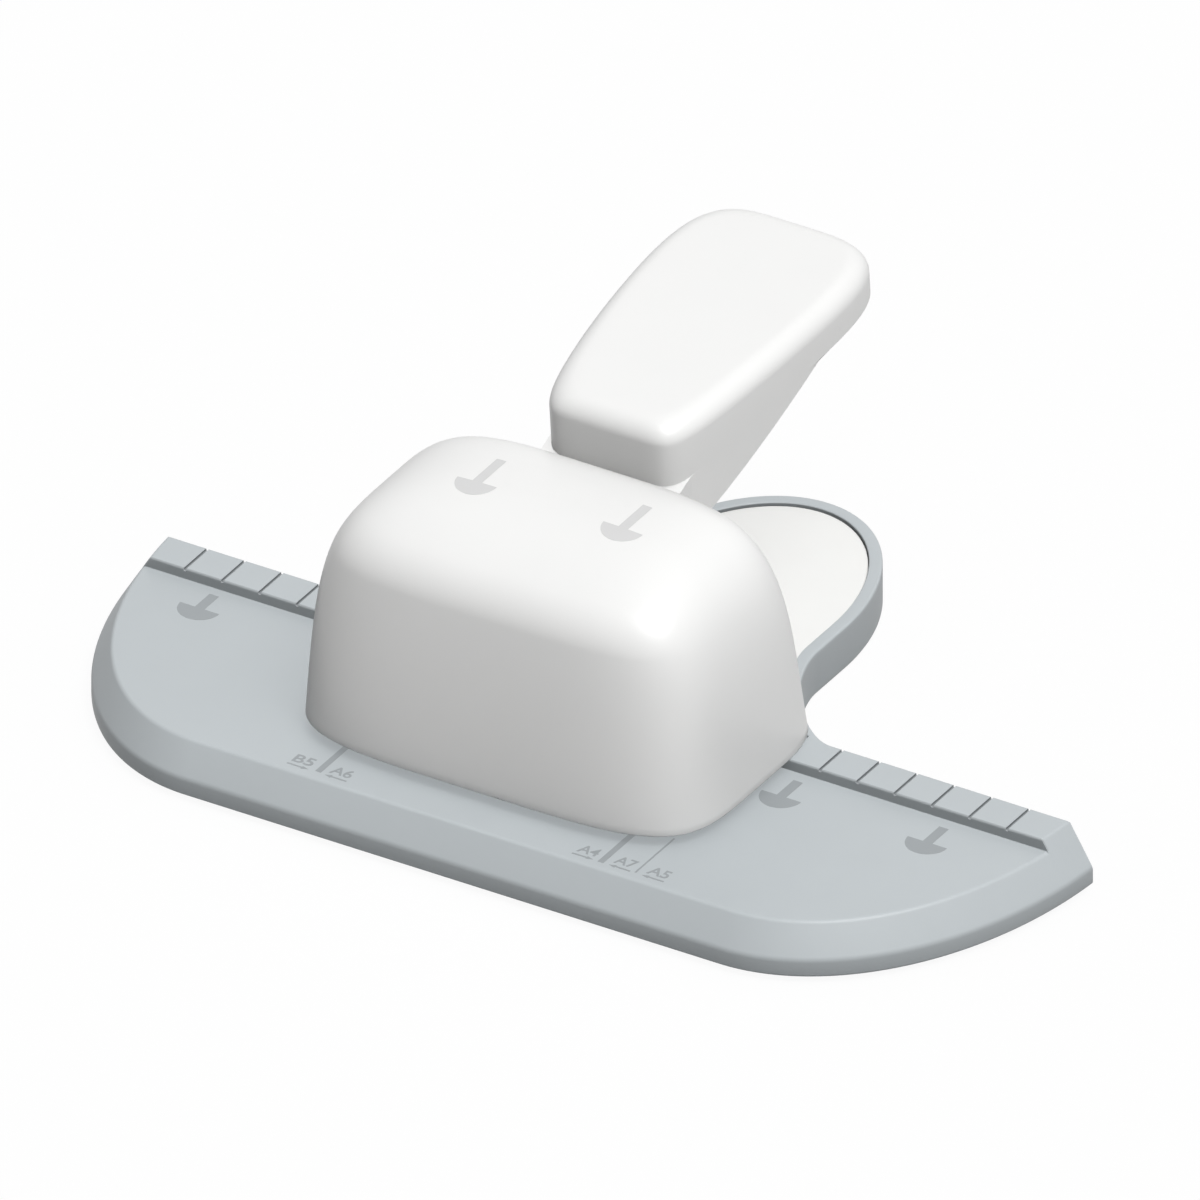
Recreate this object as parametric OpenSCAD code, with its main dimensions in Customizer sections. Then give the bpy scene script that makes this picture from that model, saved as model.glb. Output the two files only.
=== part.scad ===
// Desk punch for disc binding: a wing-shaped base with a paper fence, a domed housing with two
// mushroom punches inside, and a lever handle that swings down over a rear tongue.
// The origin is under the middle of the base, +X right, +Y away from the user, +Z up.

/* [Base] */
// Overall length of the base, side to side
base_l = 164.9; // [150:0.2:190]
// Paper fence to the front edge of the base
front_reach = 41.7; // [38:0.5:52]
// Straight stretch of the front edge
front_flat = 93; // [76:1:104]
// How far behind the fence the end curves have their centre
end_centre = 12; // [8:0.5:14]
// Height of the upright band round the foot of the bevel
band_h = 2.9; // [2.2:0.1:3.6]
// How far the bevel leans in at the two ends, from the band to the fence top
bevel_end = 4.1; // [3:0.1:6]
// How far the bevel leans in along the front, from the band to the fence top
bevel_front = 4.3; // [3:0.1:6]
// Height of the deck that the paper lies on
deck_h = 8; // [7.4:0.1:10]
// Height of the fence above the deck
fence_h = 1.8; // [1.5:0.1:2.4]
// Depth of the fence, front to back
fence_d = 6.7; // [5.5:0.1:8]
// Distance between the ruler grooves on the fence
tick_pitch = 6.5; // [5:0.1:6.8]
// Ruler grooves each side of the middle one
tick_side = 11; // [5:1:11]
// Width of a ruler groove
tick_w = 0.5; // [0.3:0.05:0.8]
// Depth of a ruler groove
tick_depth = 0.35; // [0.2:0.05:0.6]
// Thickness of the deck over the hollow wings
deck_t = 2.4; // [1.8:0.1:3]
// Wall round the hollow wings, measured at the foot
base_wall = 5.5; // [5:0.1:7]

/* [Tongue] */
// Width of the rear tongue
tongue_w = 40.6; // [36:0.2:46]
// Paper fence to the rear end of the tongue
tongue_reach = 70; // [66:0.5:84]
// Length of the tongue's round end
tongue_round = 29; // [22:0.5:32]
// How far the tongue's root reaches past the housing, each side
tongue_root = 3; // [2:0.1:6]
// Height of the lip round the tongue
tongue_h = 6.7; // [6:0.1:7.4]
// Width of the lip
lip_w = 2.1; // [1.6:0.1:3.6]
// How far the inlay lies below the lip
inlay_drop = 0.5; // [0.2:0.1:0.9]
// Thickness of the inlay
inlay_t = 1.6; // [1.2:0.1:2.2]

/* [Underside] */
// Thickness of the bottom cover
cover_t = 1.6; // [1.2:0.1:2]
// Rim of the base outside the bottom cover
cover_rim = 2.2; // [1.6:0.1:3]
// Diameter of a rubber foot
foot_d = 10; // [8:0.5:12]
// How far a rubber foot stands below the base
foot_h = 1; // [0.6:0.1:2]
// Shank diameter of the cover screws
cover_screw_d = 2.6; // [2:0.1:3]
// Wall thickness of the chip tray
tray_wall = 1.2; // [0.8:0.1:1.6]
// Height of the chip tray
tray_h = 3.2; // [2.6:0.1:3.4]

/* [Housing] */
// Room each side between the end of the pivot pin and the outside of the housing's foot
housing_side = 6; // [5.4:0.1:9]
// Depth of the housing at its foot
housing_d = 47; // [46:0.5:54]
// How far the housing's middle lies in front of the fence
housing_front = 8.6; // [7.5:0.1:9.5]
// Wall thickness of the housing
housing_wall = 1.8; // [1.6:0.1:2.6]
// Room between the lever's hump and the inside of the dome
dome_gap = 6.6; // [3:0.1:8]
// How far the side walls lean in over the full height
lean_side = 2.4; // [1:0.1:4]
// How far the front wall leans in up to its brow
lean_front = 2.6; // [1:0.1:4]
// How late the front wall leans in, where 1 is a straight wall
face_bow = 1.8; // [1:0.1:3]
// How far below the housing's top the rounded brow of its front begins
brow_drop = 10.55; // [9:0.05:11.5]
// Radius of the front brow
brow_r = 9; // [7:0.1:10]
// Turn at which the brow meets the wider shoulder above it, in degrees
brow_end = 60; // [55:1:65]
// How far the rear wall leans in over the full height
lean_back = 7.4; // [6:0.1:9]
// Squareness of the plan, where 2 is an ellipse
plan_square = 4.5; // [3.8:0.1:6]
// Squareness of the dome's side edges
dome_square = 4.8; // [4.2:0.1:7]
// Squareness of the dome's rear edge
dome_square_back = 7.4; // [4.6:0.1:9]
// Sideways place of the punch unit on the base
unit_x = -1.6; // [-3:0.1:3]
// Shank diameter of the housing screws
housing_screw_d = 3; // [2.5:0.1:3.5]

/* [Punches] */
// Distance between the two punches
pitch = 25.4; // [24:0.1:27]
// Width of a punch across its mushroom head
head_w = 6.6; // [5.5:0.1:7.4]
// Width of a punch across its stem
stem_w = 3.2; // [2.4:0.1:4]
// Length of a punch from its round front to the end of its stem
punch_l = 7; // [6:0.1:8]
// How far the stem cuts past the paper's edge
edge_cut = 0.4; // [0.2:0.1:0.8]
// Thickness of the die plate
die_t = 3; // [2.4:0.1:3.2]
// Room over the paper, beyond the height of the fence
slot_extra = 0.1; // [0.05:0.05:0.3]
// Clearance round a punch in its guide and die
punch_clear = 0.15; // [0.1:0.05:0.3]
// Thickness of the press bar
bar_t = 5; // [4.4:0.1:7]
// Front to back depth of the press bar
bar_d = 9.6; // [9.2:0.1:10.6]
// Diameter of a guide post
post_d = 4; // [3:0.1:4.4]
// Length of a return spring at rest
spring_l = 14.2; // [13:0.1:17]
// Mean diameter of a return spring
spring_d = 6; // [5.6:0.1:6.4]
// Wire diameter of a return spring
wire_d = 0.8; // [0.6:0.05:1]
// Turns of a return spring
spring_turns = 6; // [4:1:7]

/* [Frame and lever] */
// Thickness of the frame's sheet steel
frame_t = 2; // [1.6:0.1:2.4]
// Room between a return spring and the frame's cheek beside it
frame_room = 1.8; // [1.4:0.1:3]
// How far the lever's pivot lies in front of the fence
pivot_reach = 20; // [17:0.5:21]
// Height of the press roller above the pivot
pivot_drop = 9; // [7:0.5:11]
// Diameter of the pivot pin
pivot_d = 5; // [4:0.1:6]
// Diameter of the press roller
roller_d = 7; // [6:0.1:8]
// Room between the press roller and the press bar at rest
roller_gap = 0.35; // [0.3:0.05:0.6]
// Outside width of the steel lever
lever_w = 20; // [16:0.5:22]
// Thickness of the lever's sheet steel
lever_t = 2; // [1.5:0.1:2.5]
// Height of the lever's hump above the press roller's axis
hump_rise = 5.5; // [5:0.1:7]
// Radial clearance of pins and posts that turn or slide
run_clear = 0.05; // [0.02:0.01:0.1]

/* [Handle] */
// Width of the handle pad at its rear
pad_w = 33.2; // [28:0.2:36]
// How much narrower the pad is at its front
pad_narrow = 10; // [4:0.2:11]
// How early the pad widens from its front, where 1 is a straight flare
pad_flare = 2.5; // [1.5:0.1:4]
// Length of the handle pad
pad_l = 56.8; // [50:0.2:64]
// Thickness of the handle pad at its front
pad_t = 11.1; // [9:0.1:13]
// How much thinner the pad is at its rear
pad_thin = 3.7; // [2:0.1:5]
// Length over which the pad thins
thin_run = 35.2; // [30:0.2:42]
// How far the top of the pad curves down at its two ends
pad_crown = 0.8; // [0.4:0.1:2]
// Rounding of the pad's top edge
pad_edge = 3.2; // [2:0.1:4]
// Upward tilt of the pad, in degrees
pad_tilt = 5; // [3:0.2:8]
// Squareness of the pad's front corners in plan, where 2 is an ellipse
pad_square = 9; // [5:0.1:10]
// Squareness of the pad's rear corners in plan
pad_square_back = 4.4; // [3:0.1:6]
// Paper fence to the front of the pad
pad_front = 4.8; // [4:0.1:8]
// How far the front foot of the pad lies below the housing's top
pad_sink = 3.1; // [1:0.1:3.6]
// How far the lever's arm starts behind the front of the pad
neck_back = 3.9; // [3.2:0.1:6]
// Slope of the lever's arm, in degrees
neck_slope = 18.8; // [15:0.2:24]
// Depth of the start of the lever's arm below the foot of the pad
neck_drop = 6.54; // [4.4:0.02:7]
// Slope of the underside of the handle's neck, in degrees
under_slope = 29.3; // [27:0.1:32]
// Shank diameter of the handle screws
handle_screw_d = 3; // [2.5:0.1:3.5]

/* [Hidden] */
$fn = 48;

// Small clearances and overlaps
fit = 0.03;
seat_clear = 0.3;
eps = 0.01;
past = 1;

// Colours
base_grey = "#c2c8cb";
white = "#f2f2f0";
steel = "#a8adb0";
dark_steel = "#7d8184";
rubber = "#3a3c3d";
tray_grey = "#8f9598";

// Widths of the punch unit, from the punches outwards
spring_out = spring_d / 2 + wire_d / 2;
post_gap = 0.9;
post_x = pitch / 2 + head_w / 2 + post_gap + spring_out;
frame_w = 2 * (post_x + spring_out + frame_room);
pin_over = 2;
housing_w = frame_w + 2 * (frame_t + pin_over + housing_side);
tongue_root_w = housing_w + 2 * tongue_root;

// Plan of the base, measured from the fence's front face
fence_y = (front_reach - tongue_reach) / 2;
end_cx = front_flat / 2;
foot_b = front_reach + end_centre;
end_cos = sqrt(1 - pow((fence_d - end_centre) / foot_b, 2));
foot_a = (base_l / 2 - end_cx) / end_cos;
end_steps = 20;
fence_z = deck_h + fence_h;
tongue_r = tongue_w / 2;
tongue_cy = tongue_reach - tongue_round;
root_run = 6;
waist_run = 8;
waist_y = tongue_cy - waist_run;
waist_pull = 9;
plateau_over = 2;
plateau_end = housing_d / 2 - housing_front + plateau_over;
inlay_gap = 1;
inlay_front = plateau_end + inlay_gap;
edge_soft = 1;

// Heights of the punch stack above the foot of the base
die_z = deck_h - die_t;
web_z = deck_h + fence_h + slot_extra;
web_top = web_z + frame_t;
bar_z = web_top + spring_l;
bar_top = bar_z + bar_t;
roller_r = roller_d / 2;
roller_z = bar_top + roller_gap + roller_r;
pivot_z = roller_z - pivot_drop;
hump_z = roller_z + hump_rise;
housing_top = hump_z + dome_gap + housing_wall;
housing_h = housing_top - fence_z;

// Brow and shoulder of the housing's front, as arcs in its middle plane
crest_move = 2.7;
last_turn = 88.6;
face_y = -housing_d / 2 - housing_front;
brow_z = housing_top - brow_drop;
brow_turn = atan(lean_front * face_bow / (brow_z - fence_z));
brow_cy = face_y + lean_front + brow_r * cos(brow_turn);
brow_cz = brow_z - brow_r * sin(brow_turn);
brow_top = brow_cz + brow_r * sin(brow_end);
shoulder_r = (housing_top - brow_top) / (1 - sin(brow_end));
shoulder_cy = brow_cy + (shoulder_r - brow_r) * cos(brow_end);
shoulder_cz = housing_top - shoulder_r;

// Places in the punch unit, front to back
punch_y = edge_cut - punch_l / 2;
head_y = edge_cut - punch_l + head_w / 2;
pivot_y = -pivot_reach;
roller_y = punch_y;
punch_rest = 0.35;
punch_bite = 3.6;
lever_angle = 20;

// The part of the unit behind the fence
rear_in = 3.5;
rear_half = frame_w / 2 - rear_in;
rear_gap = 2.1;
rear_y = housing_d / 2 - housing_front - housing_wall - rear_gap;
screw_back = 4.2;
screw_y = rear_y - screw_back;
screw_in = 5;
screw_mid = 7;
frame_screw_x = [screw_in - rear_half, -screw_mid, screw_mid, rear_half - screw_in];
frame_screw_d = 3;
frame_head_d = 5.4;
frame_head_h = 1.8;
frame_screw_bite = 2.4;
boss_out = 4.6;
housing_screw_x = rear_half + boss_out;
boss_back = 3.8;
housing_screw_y = rear_y - boss_back;
boss_d = 6.2;
boss_h = 12;
housing_head_d = 5.6;
housing_head_h = 2;
housing_head_z = 3.6;
die_front = 16;

// The chip chamber
chip_side = 4;
chip_half = pitch / 2 + head_w / 2 + chip_side;
chip_front = 12;
chip_back = 2.5;
block_wall = 3.6;
block_half = housing_screw_x + housing_head_d / 2 + block_wall;

// Guide posts and springs
post_over = 2.4;
clip_t = 0.8;
clip_gap = 0.25;
clip_wall = 1.3;
bar_side = 1;
bar_half = frame_w / 2 - bar_side;

// Lever
lever_half = lever_w / 2;
pivot_r = pivot_d / 2;
pivot_boss = pivot_r + 2.5;
roller_pin_r = 2;
roller_boss = roller_r - 0.3;
cheek_front = 5;
cheek_back = 1;
spacer_wall = 1.5;
spacer_r = pivot_r + spacer_wall;
hump_half = 5;
web_start = 7;
neck_break = 2.3;

// Handle
pad_half = pad_l / 2;
pad_points = 72;
pad_foot_z = housing_top - pad_sink;
pad_cy = pad_front + (pad_half * cos(pad_tilt)) + pad_t * sin(pad_tilt) / 2;
pad_cz = pad_foot_z + pad_half * sin(pad_tilt) + pad_t * cos(pad_tilt);
neck_y = pad_front + neck_back;
neck_foot_z = pad_foot_z + neck_back * tan(pad_tilt) - neck_drop;
tip_back = 2.4;
tip_drop = 0.75;
heel_back = 6.8;
heel_drop = 9.25;
neck_round = 2.8;
neck_over = 0.35;
web_rise = 4.6;
arm_l = 28;
arm_end_y = neck_y + arm_l;
near_screw = 12;
far_screw = 23;
arm_screw_y = [neck_y + near_screw, neck_y + far_screw];
handle_head_d = 5.2;
handle_head_h = 1.6;
handle_bite = 5;

// Bottom cover screws and feet, right-hand side
cover_screw_at = [[42, -8], [66, -14]];
cover_head_d = 5.6;
cover_head_h = 1;
cover_boss_d = 6.4;
foot_at = [[58, -front_reach + 14.5], [70, 0]];
tongue_foot_y = tongue_reach - 13;

// Rounded-square point on a unit outline
function squared(v, power) = sign(v) * pow(abs(v), 2 / power);

// Outline of the base's wings with half axes a and b at the ends, counter-clockwise
function wing_points(a, b, back_y) =
    let (start = asin((back_y - end_centre) / b))
    let (side = [for (i = [0:end_steps])
        let (t = start + (-90 - start) * i / end_steps)
        [end_cx + a * cos(t), end_centre + b * sin(t)]])
    concat(
        [for (p = side) [-p[0], p[1]]],
        [for (i = [end_steps:-1:0]) side[i]]
    );

// Point on a cubic curve
function curve_point(p, t) =
    pow(1 - t, 3) * p[0] + 3 * t * pow(1 - t, 2) * p[1] + 3 * t * t * (1 - t) * p[2] + pow(t, 3) * p[3];

// Right-hand edge of the tongue from the fence to its rear end, drawn in by inset
function tongue_edge(inset) =
    let (root = tongue_root_w / 2)
    let (side = tongue_r - inset)
    let (back = fence_d - inset)
    let (bend = [[root, back], [root - root_run, back], [side, waist_y - waist_pull], [side, waist_y]])
    concat(
        [for (i = [0:14]) curve_point(bend, i / 14)],
        [for (i = [0:18]) [(tongue_r - inset) * cos(i * 5), tongue_cy + (tongue_round - inset) * sin(i * 5)]]
    );

// Whole tongue outline, started a little inside the wings
function tongue_points(inset) =
    let (edge = tongue_edge(inset))
    let (last = len(edge) - 1)
    concat(
        [[tongue_root_w / 2, 0]],
        edge,
        [for (i = [last - 1:-1:0]) [-edge[i][0], edge[i][1]]],
        [[-tongue_root_w / 2, 0]]
    );

// Tongue outline behind the housing only, for the inlay and its pocket
function inlay_points(inset) =
    let (edge = [for (p = tongue_edge(inset)) if (p[1] > inlay_front) p])
    let (last = len(edge) - 1)
    concat(
        [[edge[0][0], inlay_front]],
        edge,
        [for (i = [last - 1:-1:0]) [-edge[i][0], edge[i][1]]],
        [[-edge[0][0], inlay_front]]
    );

// Front of the housing in its middle plane at height z
function front_y(z) =
    z <= brow_z ? face_y + lean_front * pow(max(0, z - fence_z) / (brow_z - fence_z), face_bow)
    : z <= brow_top ? brow_cy - sqrt(max(0, pow(brow_r, 2) - pow(z - brow_cz, 2)))
    : shoulder_cy - sqrt(max(0, pow(shoulder_r, 2) - pow(z - shoulder_cz, 2)));

// Levels of the dome as shares of its height
function dome_levels() =
    [for (z = concat(
        [for (i = [0:5]) fence_z + (brow_z - fence_z) * i / 6],
        [for (i = [0:4]) brow_cz + brow_r * sin(brow_turn + (brow_end - brow_turn) * i / 5)],
        [for (i = [0:6]) shoulder_cz + shoulder_r * sin(brow_end + (last_turn - brow_end) * i / 6)]
    )) (z - fence_z) / housing_h];

// One level of the dome drawn in by a wall, where up runs from 0 at the foot to 1 at the crown
function dome_ring(up, wall, foot_z) =
    let (keep = pow(1 - pow(up, dome_square), 1 / dome_square))
    let (keep_back = pow(1 - pow(up, dome_square), 1 / dome_square_back))
    let (middle = crest_move * pow(up, 8) - housing_front)
    let (half = keep * (housing_w / 2 - lean_side * up) * (1 - 2 * wall / housing_w))
    let (ahead = (middle - front_y(fence_z + housing_h * up)) * (1 - 2 * wall / housing_d))
    let (behind = (keep_back * (housing_d / 2 - lean_back * up) - housing_front - middle) * (1 - 2 * wall / housing_d))
    [for (i = [0:63])
        let (x = squared(cos(i * 360 / 64), plan_square))
        let (y = squared(sin(i * 360 / 64), plan_square))
        [half * x, middle + (y < 0 ? ahead : behind) * y, foot_z + (housing_top - wall - foot_z) * up]];

// Point of a unit rounded square at angle a
function rounded(a, power) =
    let (r = pow(pow(abs(cos(a)), power) + pow(abs(sin(a)), power), -1 / power))
    [r * cos(a), r * sin(a)];

// Half width of the pad, where share runs from 0 at its front to 1 at its rear
function pad_side(share) = pad_w / 2 - pad_narrow / 2 * pow(1 - min(1, max(0, share)), pad_flare);

// Outline of the handle pad drawn in by inset, with the crown taken off towards its ends and its rear raised
function pad_ring(inset, level, crown, rise) =
    [for (i = [0:pad_points - 1])
        let (a = i * 360 / pad_points)
        let (p = rounded(a, sin(a) < 0 ? pad_square : pad_square_back))
        let (u = (pad_half - inset) * p[1])
        [(pad_side((p[1] + 1) / 2) - inset) * p[0], u,
            level - crown * pow(u / pad_half, 2) + rise * min(1, (u + pad_half) / thin_run)]];

// Strips from side to side that close an outline which starts at point first
function strips(first, count) =
    [for (i = [-count / 4:count / 4 - 1])
        let (a = first + (i + count) % count)
        let (b = first + (i + 1 + count) % count)
        let (c = first + (count / 2 - i - 1) % count)
        let (d = first + (count / 2 - i) % count)
        a == d ? [a, b, c] : b == c ? [a, b, d] : [a, b, c, d]];

// Same faces seen from the other side
function turned(faces) = [for (f = faces) [for (i = [len(f) - 1:-1:0]) f[i]]];

// Solid through a stack of outlines, closed by a flat foot and top, or by strips where these are curved
module loft(rings, curved = false) {
    count = len(rings[0]);
    levels = len(rings);
    points = [for (ring = rings) for (p = ring) p];
    foot = curved ? strips(0, count) : [[for (i = [0:count - 1]) i]];
    top = turned(curved ? strips((levels - 1) * count, count) : [[for (i = [0:count - 1]) (levels - 1) * count + i]]);
    lower = [for (j = [0:levels - 2]) for (i = [0:count - 1])
        [j * count + i, (j + 1) * count + i, j * count + (i + 1) % count]];
    upper = [for (j = [0:levels - 2]) for (i = [0:count - 1])
        [(j + 1) * count + i, (j + 1) * count + (i + 1) % count, j * count + (i + 1) % count]];
    polyhedron(points, concat(foot, top, lower, upper));
}

// Block given by its low and high corners
module block(low, high) {
    translate(low) cube(high - low);
}

// Places children on the base, with y from the fence and z from the foot of the base
module on_base() {
    translate([0, fence_y, foot_h]) children();
}

// Places children in the punch unit
module in_unit() {
    translate([unit_x, fence_y, foot_h]) children();
}

// Prism along X with a side profile of [y, z] points, between two x values
module side_prism(profile, low, high) {
    translate([low, 0, 0]) rotate([90, 0, 90]) linear_extrude(high - low) polygon(profile);
}

// Cylinder along X
module rod_x(at, radius, low, high) {
    translate([low, at[0], at[1]]) rotate([0, 90, 0]) cylinder(r = radius, h = high - low);
}

// Cylinder along Z
module rod_z(at, radius, low, high) {
    translate([at[0], at[1], low]) cylinder(r = radius, h = high - low);
}

// Washer along Z
module ring_z(at, outer, inner, low, high) {
    difference() {
        rod_z(at, outer, low, high);
        rod_z(at, inner, low - past, high + past);
    }
}

// Washer along X
module ring_x(at, outer, inner, low, high) {
    difference() {
        rod_x(at, outer, low, high);
        rod_x(at, inner, low - past, high + past);
    }
}

// Mushroom-shaped bar, grown all round by clear
module mushroom(x, clear, low, high) {
    intersection() {
        rod_z([x, head_y], head_w / 2 + clear, low, high);
        block([x - head_w, head_y - head_w, low], [x + head_w, head_y + clear, high]);
    }
    block([x - stem_w / 2 - clear, head_y - eps, low], [x + stem_w / 2 + clear, edge_cut + clear, high]);
}

// Copies children to the right and left of the base
module both_sides() {
    for (side = [-1, 1]) scale_x(side) children();
}

// Mirrors children when side is -1
module scale_x(side) {
    if (side < 0) mirror([1, 0, 0]) children();
    else children();
}

// Outside of the wings with band, soft edge and bevel, up to the fence top
module wing_solid() {
    rise = fence_z - band_h;
    soft = edge_soft / rise;
    levels = [[0, 0], [band_h - edge_soft, 0], [band_h, soft * 0.35], [band_h + edge_soft, soft], [fence_z, 1]];
    rings = [for (level = levels)
        [for (p = wing_points(foot_a - bevel_end * level[1], foot_b - bevel_front * level[1], fence_d))
            [p[0], p[1], level[0]]]];
    loft(rings);
}

// Tongue with its lip, and the seat behind the fence that carries the housing
module tongue_solid() {
    translate([unit_x, 0, 0]) {
        linear_extrude(tongue_h) polygon(tongue_points(0));
        intersection() {
            linear_extrude(fence_z) polygon(tongue_points(0));
            block([-base_l, 0, 0], [base_l, plateau_end, fence_z + past]);
        }
    }
}

// Ruler grooves across the top of the fence
module fence_grooves() {
    for (i = [-tick_side:tick_side])
        block([i * tick_pitch - tick_w / 2, -past, fence_z - tick_depth],
            [i * tick_pitch + tick_w / 2, fence_d + past, fence_z + past]);
}

// Hollow under the two wings, beside the middle block
module wing_hollows() {
    difference() {
        translate([0, 0, cover_t - eps])
            linear_extrude(deck_h - deck_t - cover_t)
                polygon(wing_points(foot_a - base_wall, foot_b - base_wall, fence_d - deck_t));
        block([unit_x - block_half, -base_l, 0], [unit_x + block_half, base_l, deck_h]);
        both_sides()
            for (at = cover_screw_at)
                rod_z(at, cover_boss_d / 2, 0, deck_h);
    }
}

// Plan of the bottom cover, drawn in from the outside of the base
module cover_plan(inset, low, high) {
    translate([0, 0, low]) linear_extrude(high - low)
        polygon(wing_points(foot_a - inset, foot_b - inset, fence_d - inset));
    translate([unit_x, 0, low]) linear_extrude(high - low) polygon(tongue_points(inset));
}

module base_shell() {
    color(base_grey) on_base() difference() {
        union() {
            wing_solid();
            tongue_solid();
        }
        block([-base_l, -base_l, deck_h], [base_l, 0, housing_top]);
        fence_grooves();
        cover_plan(cover_rim, -past, cover_t);
        wing_hollows();
        both_sides()
            for (at = cover_screw_at)
                rod_z(at, cover_screw_d / 2 + fit, 0, deck_h - deck_t);
        translate([unit_x, 0, 0]) {
            translate([0, 0, tongue_h - inlay_drop - inlay_t])
                linear_extrude(tongue_h) polygon(inlay_points(lip_w));
            block([-rear_half - seat_clear, -die_front - seat_clear, die_z],
                [rear_half + seat_clear, rear_y + seat_clear, housing_top]);
            block([-chip_half, -chip_front, -past], [chip_half, chip_back, die_z + past]);
            for (x = frame_screw_x)
                rod_z([x, screw_y], frame_screw_d / 2 + fit, die_z - frame_screw_bite - seat_clear, die_z + past);
            for (side = [-1, 1]) {
                rod_z([side * housing_screw_x, housing_screw_y], housing_screw_d / 2 + 0.2, 0, fence_z + past);
                rod_z([side * housing_screw_x, housing_screw_y], housing_head_d / 2 + seat_clear, 0, housing_head_z);
            }
        }
    }
}

module tongue_inlay() {
    color(white) in_unit()
        translate([0, 0, tongue_h - inlay_drop - inlay_t])
            linear_extrude(inlay_t) polygon(inlay_points(lip_w + seat_clear / 3));
}

module bottom_cover() {
    color(base_grey) on_base() difference() {
        cover_plan(cover_rim + seat_clear / 2, 0, cover_t);
        both_sides()
            for (at = cover_screw_at) {
                rod_z(at, cover_screw_d / 2 + 0.2, -past, cover_t + past);
                rod_z(at, cover_head_d / 2 + 0.2, -past, cover_head_h);
            }
        translate([unit_x, 0, 0])
            block([-chip_half, -chip_front, -past], [chip_half, chip_back, cover_t + past]);
    }
}

module cover_screws() {
    color(dark_steel) on_base() both_sides()
        for (at = cover_screw_at) {
            rod_z(at, cover_head_d / 2, 0, cover_head_h);
            rod_z(at, cover_screw_d / 2, 0, deck_h - deck_t - seat_clear);
        }
}

module rubber_feet() {
    color(rubber) {
        translate([0, fence_y, 0]) both_sides()
            for (at = foot_at)
                rod_z(at, foot_d / 2, 0, foot_h);
        translate([unit_x, fence_y, 0]) rod_z([0, tongue_foot_y], foot_d / 2, 0, foot_h);
    }
}

module chip_tray() {
    color(tray_grey) in_unit() difference() {
        block([seat_clear - chip_half, seat_clear - chip_front, 0],
            [chip_half - seat_clear, chip_back - seat_clear, tray_h]);
        block([seat_clear - chip_half + tray_wall, seat_clear - chip_front + tray_wall, tray_wall],
            [chip_half - seat_clear - tray_wall, chip_back - seat_clear - tray_wall, tray_h + past]);
    }
}

module die_plate() {
    color(steel) in_unit() difference() {
        block([-rear_half, -die_front, die_z], [rear_half, rear_y, deck_h]);
        for (side = [-1, 1])
            mushroom(side * pitch / 2, punch_clear, die_z - past, deck_h + past);
        frame_screw_holes(die_z, deck_h);
    }
}

// Clearance holes for the frame screws
module frame_screw_holes(low, high) {
    for (x = frame_screw_x)
        rod_z([x, screw_y], frame_screw_d / 2 + 0.2, low - past, high + past);
}

module paper_stop() {
    color(dark_steel) in_unit() difference() {
        block([-rear_half, 0, deck_h], [rear_half, rear_y, web_z]);
        for (side = [-1, 1])
            mushroom(side * pitch / 2, punch_clear, deck_h - past, web_z + past);
        frame_screw_holes(deck_h, web_z);
    }
}

// One cheek of the frame, from its foot on the web up to the pivot
module cheek() {
    profile = [
        [pivot_y - cheek_front, web_z], [-cheek_back, web_z], [-cheek_back, web_top + 5],
        [pivot_y + pivot_boss - 1, pivot_z + 3], [pivot_y, pivot_z + pivot_boss],
        [pivot_y - cheek_front, pivot_z]
    ];
    low = frame_w / 2;
    difference() {
        union() {
            side_prism(profile, low, low + frame_t);
            rod_x([pivot_y, pivot_z], pivot_boss, low, low + frame_t);
        }
        rod_x([pivot_y, pivot_z], pivot_r + fit, low - past, low + frame_t + past);
    }
}

module punch_frame() {
    color(steel) in_unit() {
        difference() {
            union() {
                block([-frame_w / 2 - frame_t, pivot_y - cheek_front, web_z], [frame_w / 2 + frame_t, -cheek_back, web_top]);
                block([-rear_half, -cheek_back - past, web_z], [rear_half, rear_y, web_top]);
            }
            for (side = [-1, 1]) {
                mushroom(side * pitch / 2, punch_clear, web_z - past, web_top + past);
                rod_z([side * post_x, punch_y], post_d / 2 + fit, web_z - past, web_top + past);
            }
            frame_screw_holes(web_z, web_top);
        }
        both_sides() cheek();
    }
}

module frame_screws() {
    color(dark_steel) in_unit()
        for (x = frame_screw_x) {
            rod_z([x, screw_y], frame_head_d / 2, web_top, web_top + frame_head_h);
            rod_z([x, screw_y], frame_screw_d / 2, die_z - frame_screw_bite, web_top + eps);
        }
}

module guide_post(side) {
    color(steel) in_unit() rod_z([side * post_x, punch_y], post_d / 2, web_z, bar_top + post_over);
}

module post_clips() {
    color(dark_steel) in_unit()
        for (side = [-1, 1])
            ring_z([side * post_x, punch_y], post_d / 2 + clip_wall, post_d / 2 + fit,
                bar_top + clip_gap, bar_top + clip_gap + clip_t);
}

// Coil spring: one tube swept along a helix, on the web and under the press bar
module coil(side) {
    steps = 8 * spring_turns;
    low = web_top + wire_d / 2 + fit;
    run = spring_l - wire_d - 2 * fit;
    rings = [for (i = [0:steps])
        let (t = i * 45)
        let (out = [cos(t), sin(t), 0])
        let (climb = run / steps * 360 / 45 / (PI * spring_d))
        let (along = [-sin(t), cos(t), climb] / sqrt(1 + climb * climb))
        let (up = cross(along, out))
        let (mid = [0, 0, low + run * i / steps] + out * spring_d / 2)
        [for (k = [0:5]) mid + wire_d / 2 * (out * cos(k * 60) + up * sin(k * 60))]];
    translate([side * post_x, punch_y, 0]) loft(rings);
}

module return_spring(side) {
    color(dark_steel) in_unit() coil(side);
}

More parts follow.
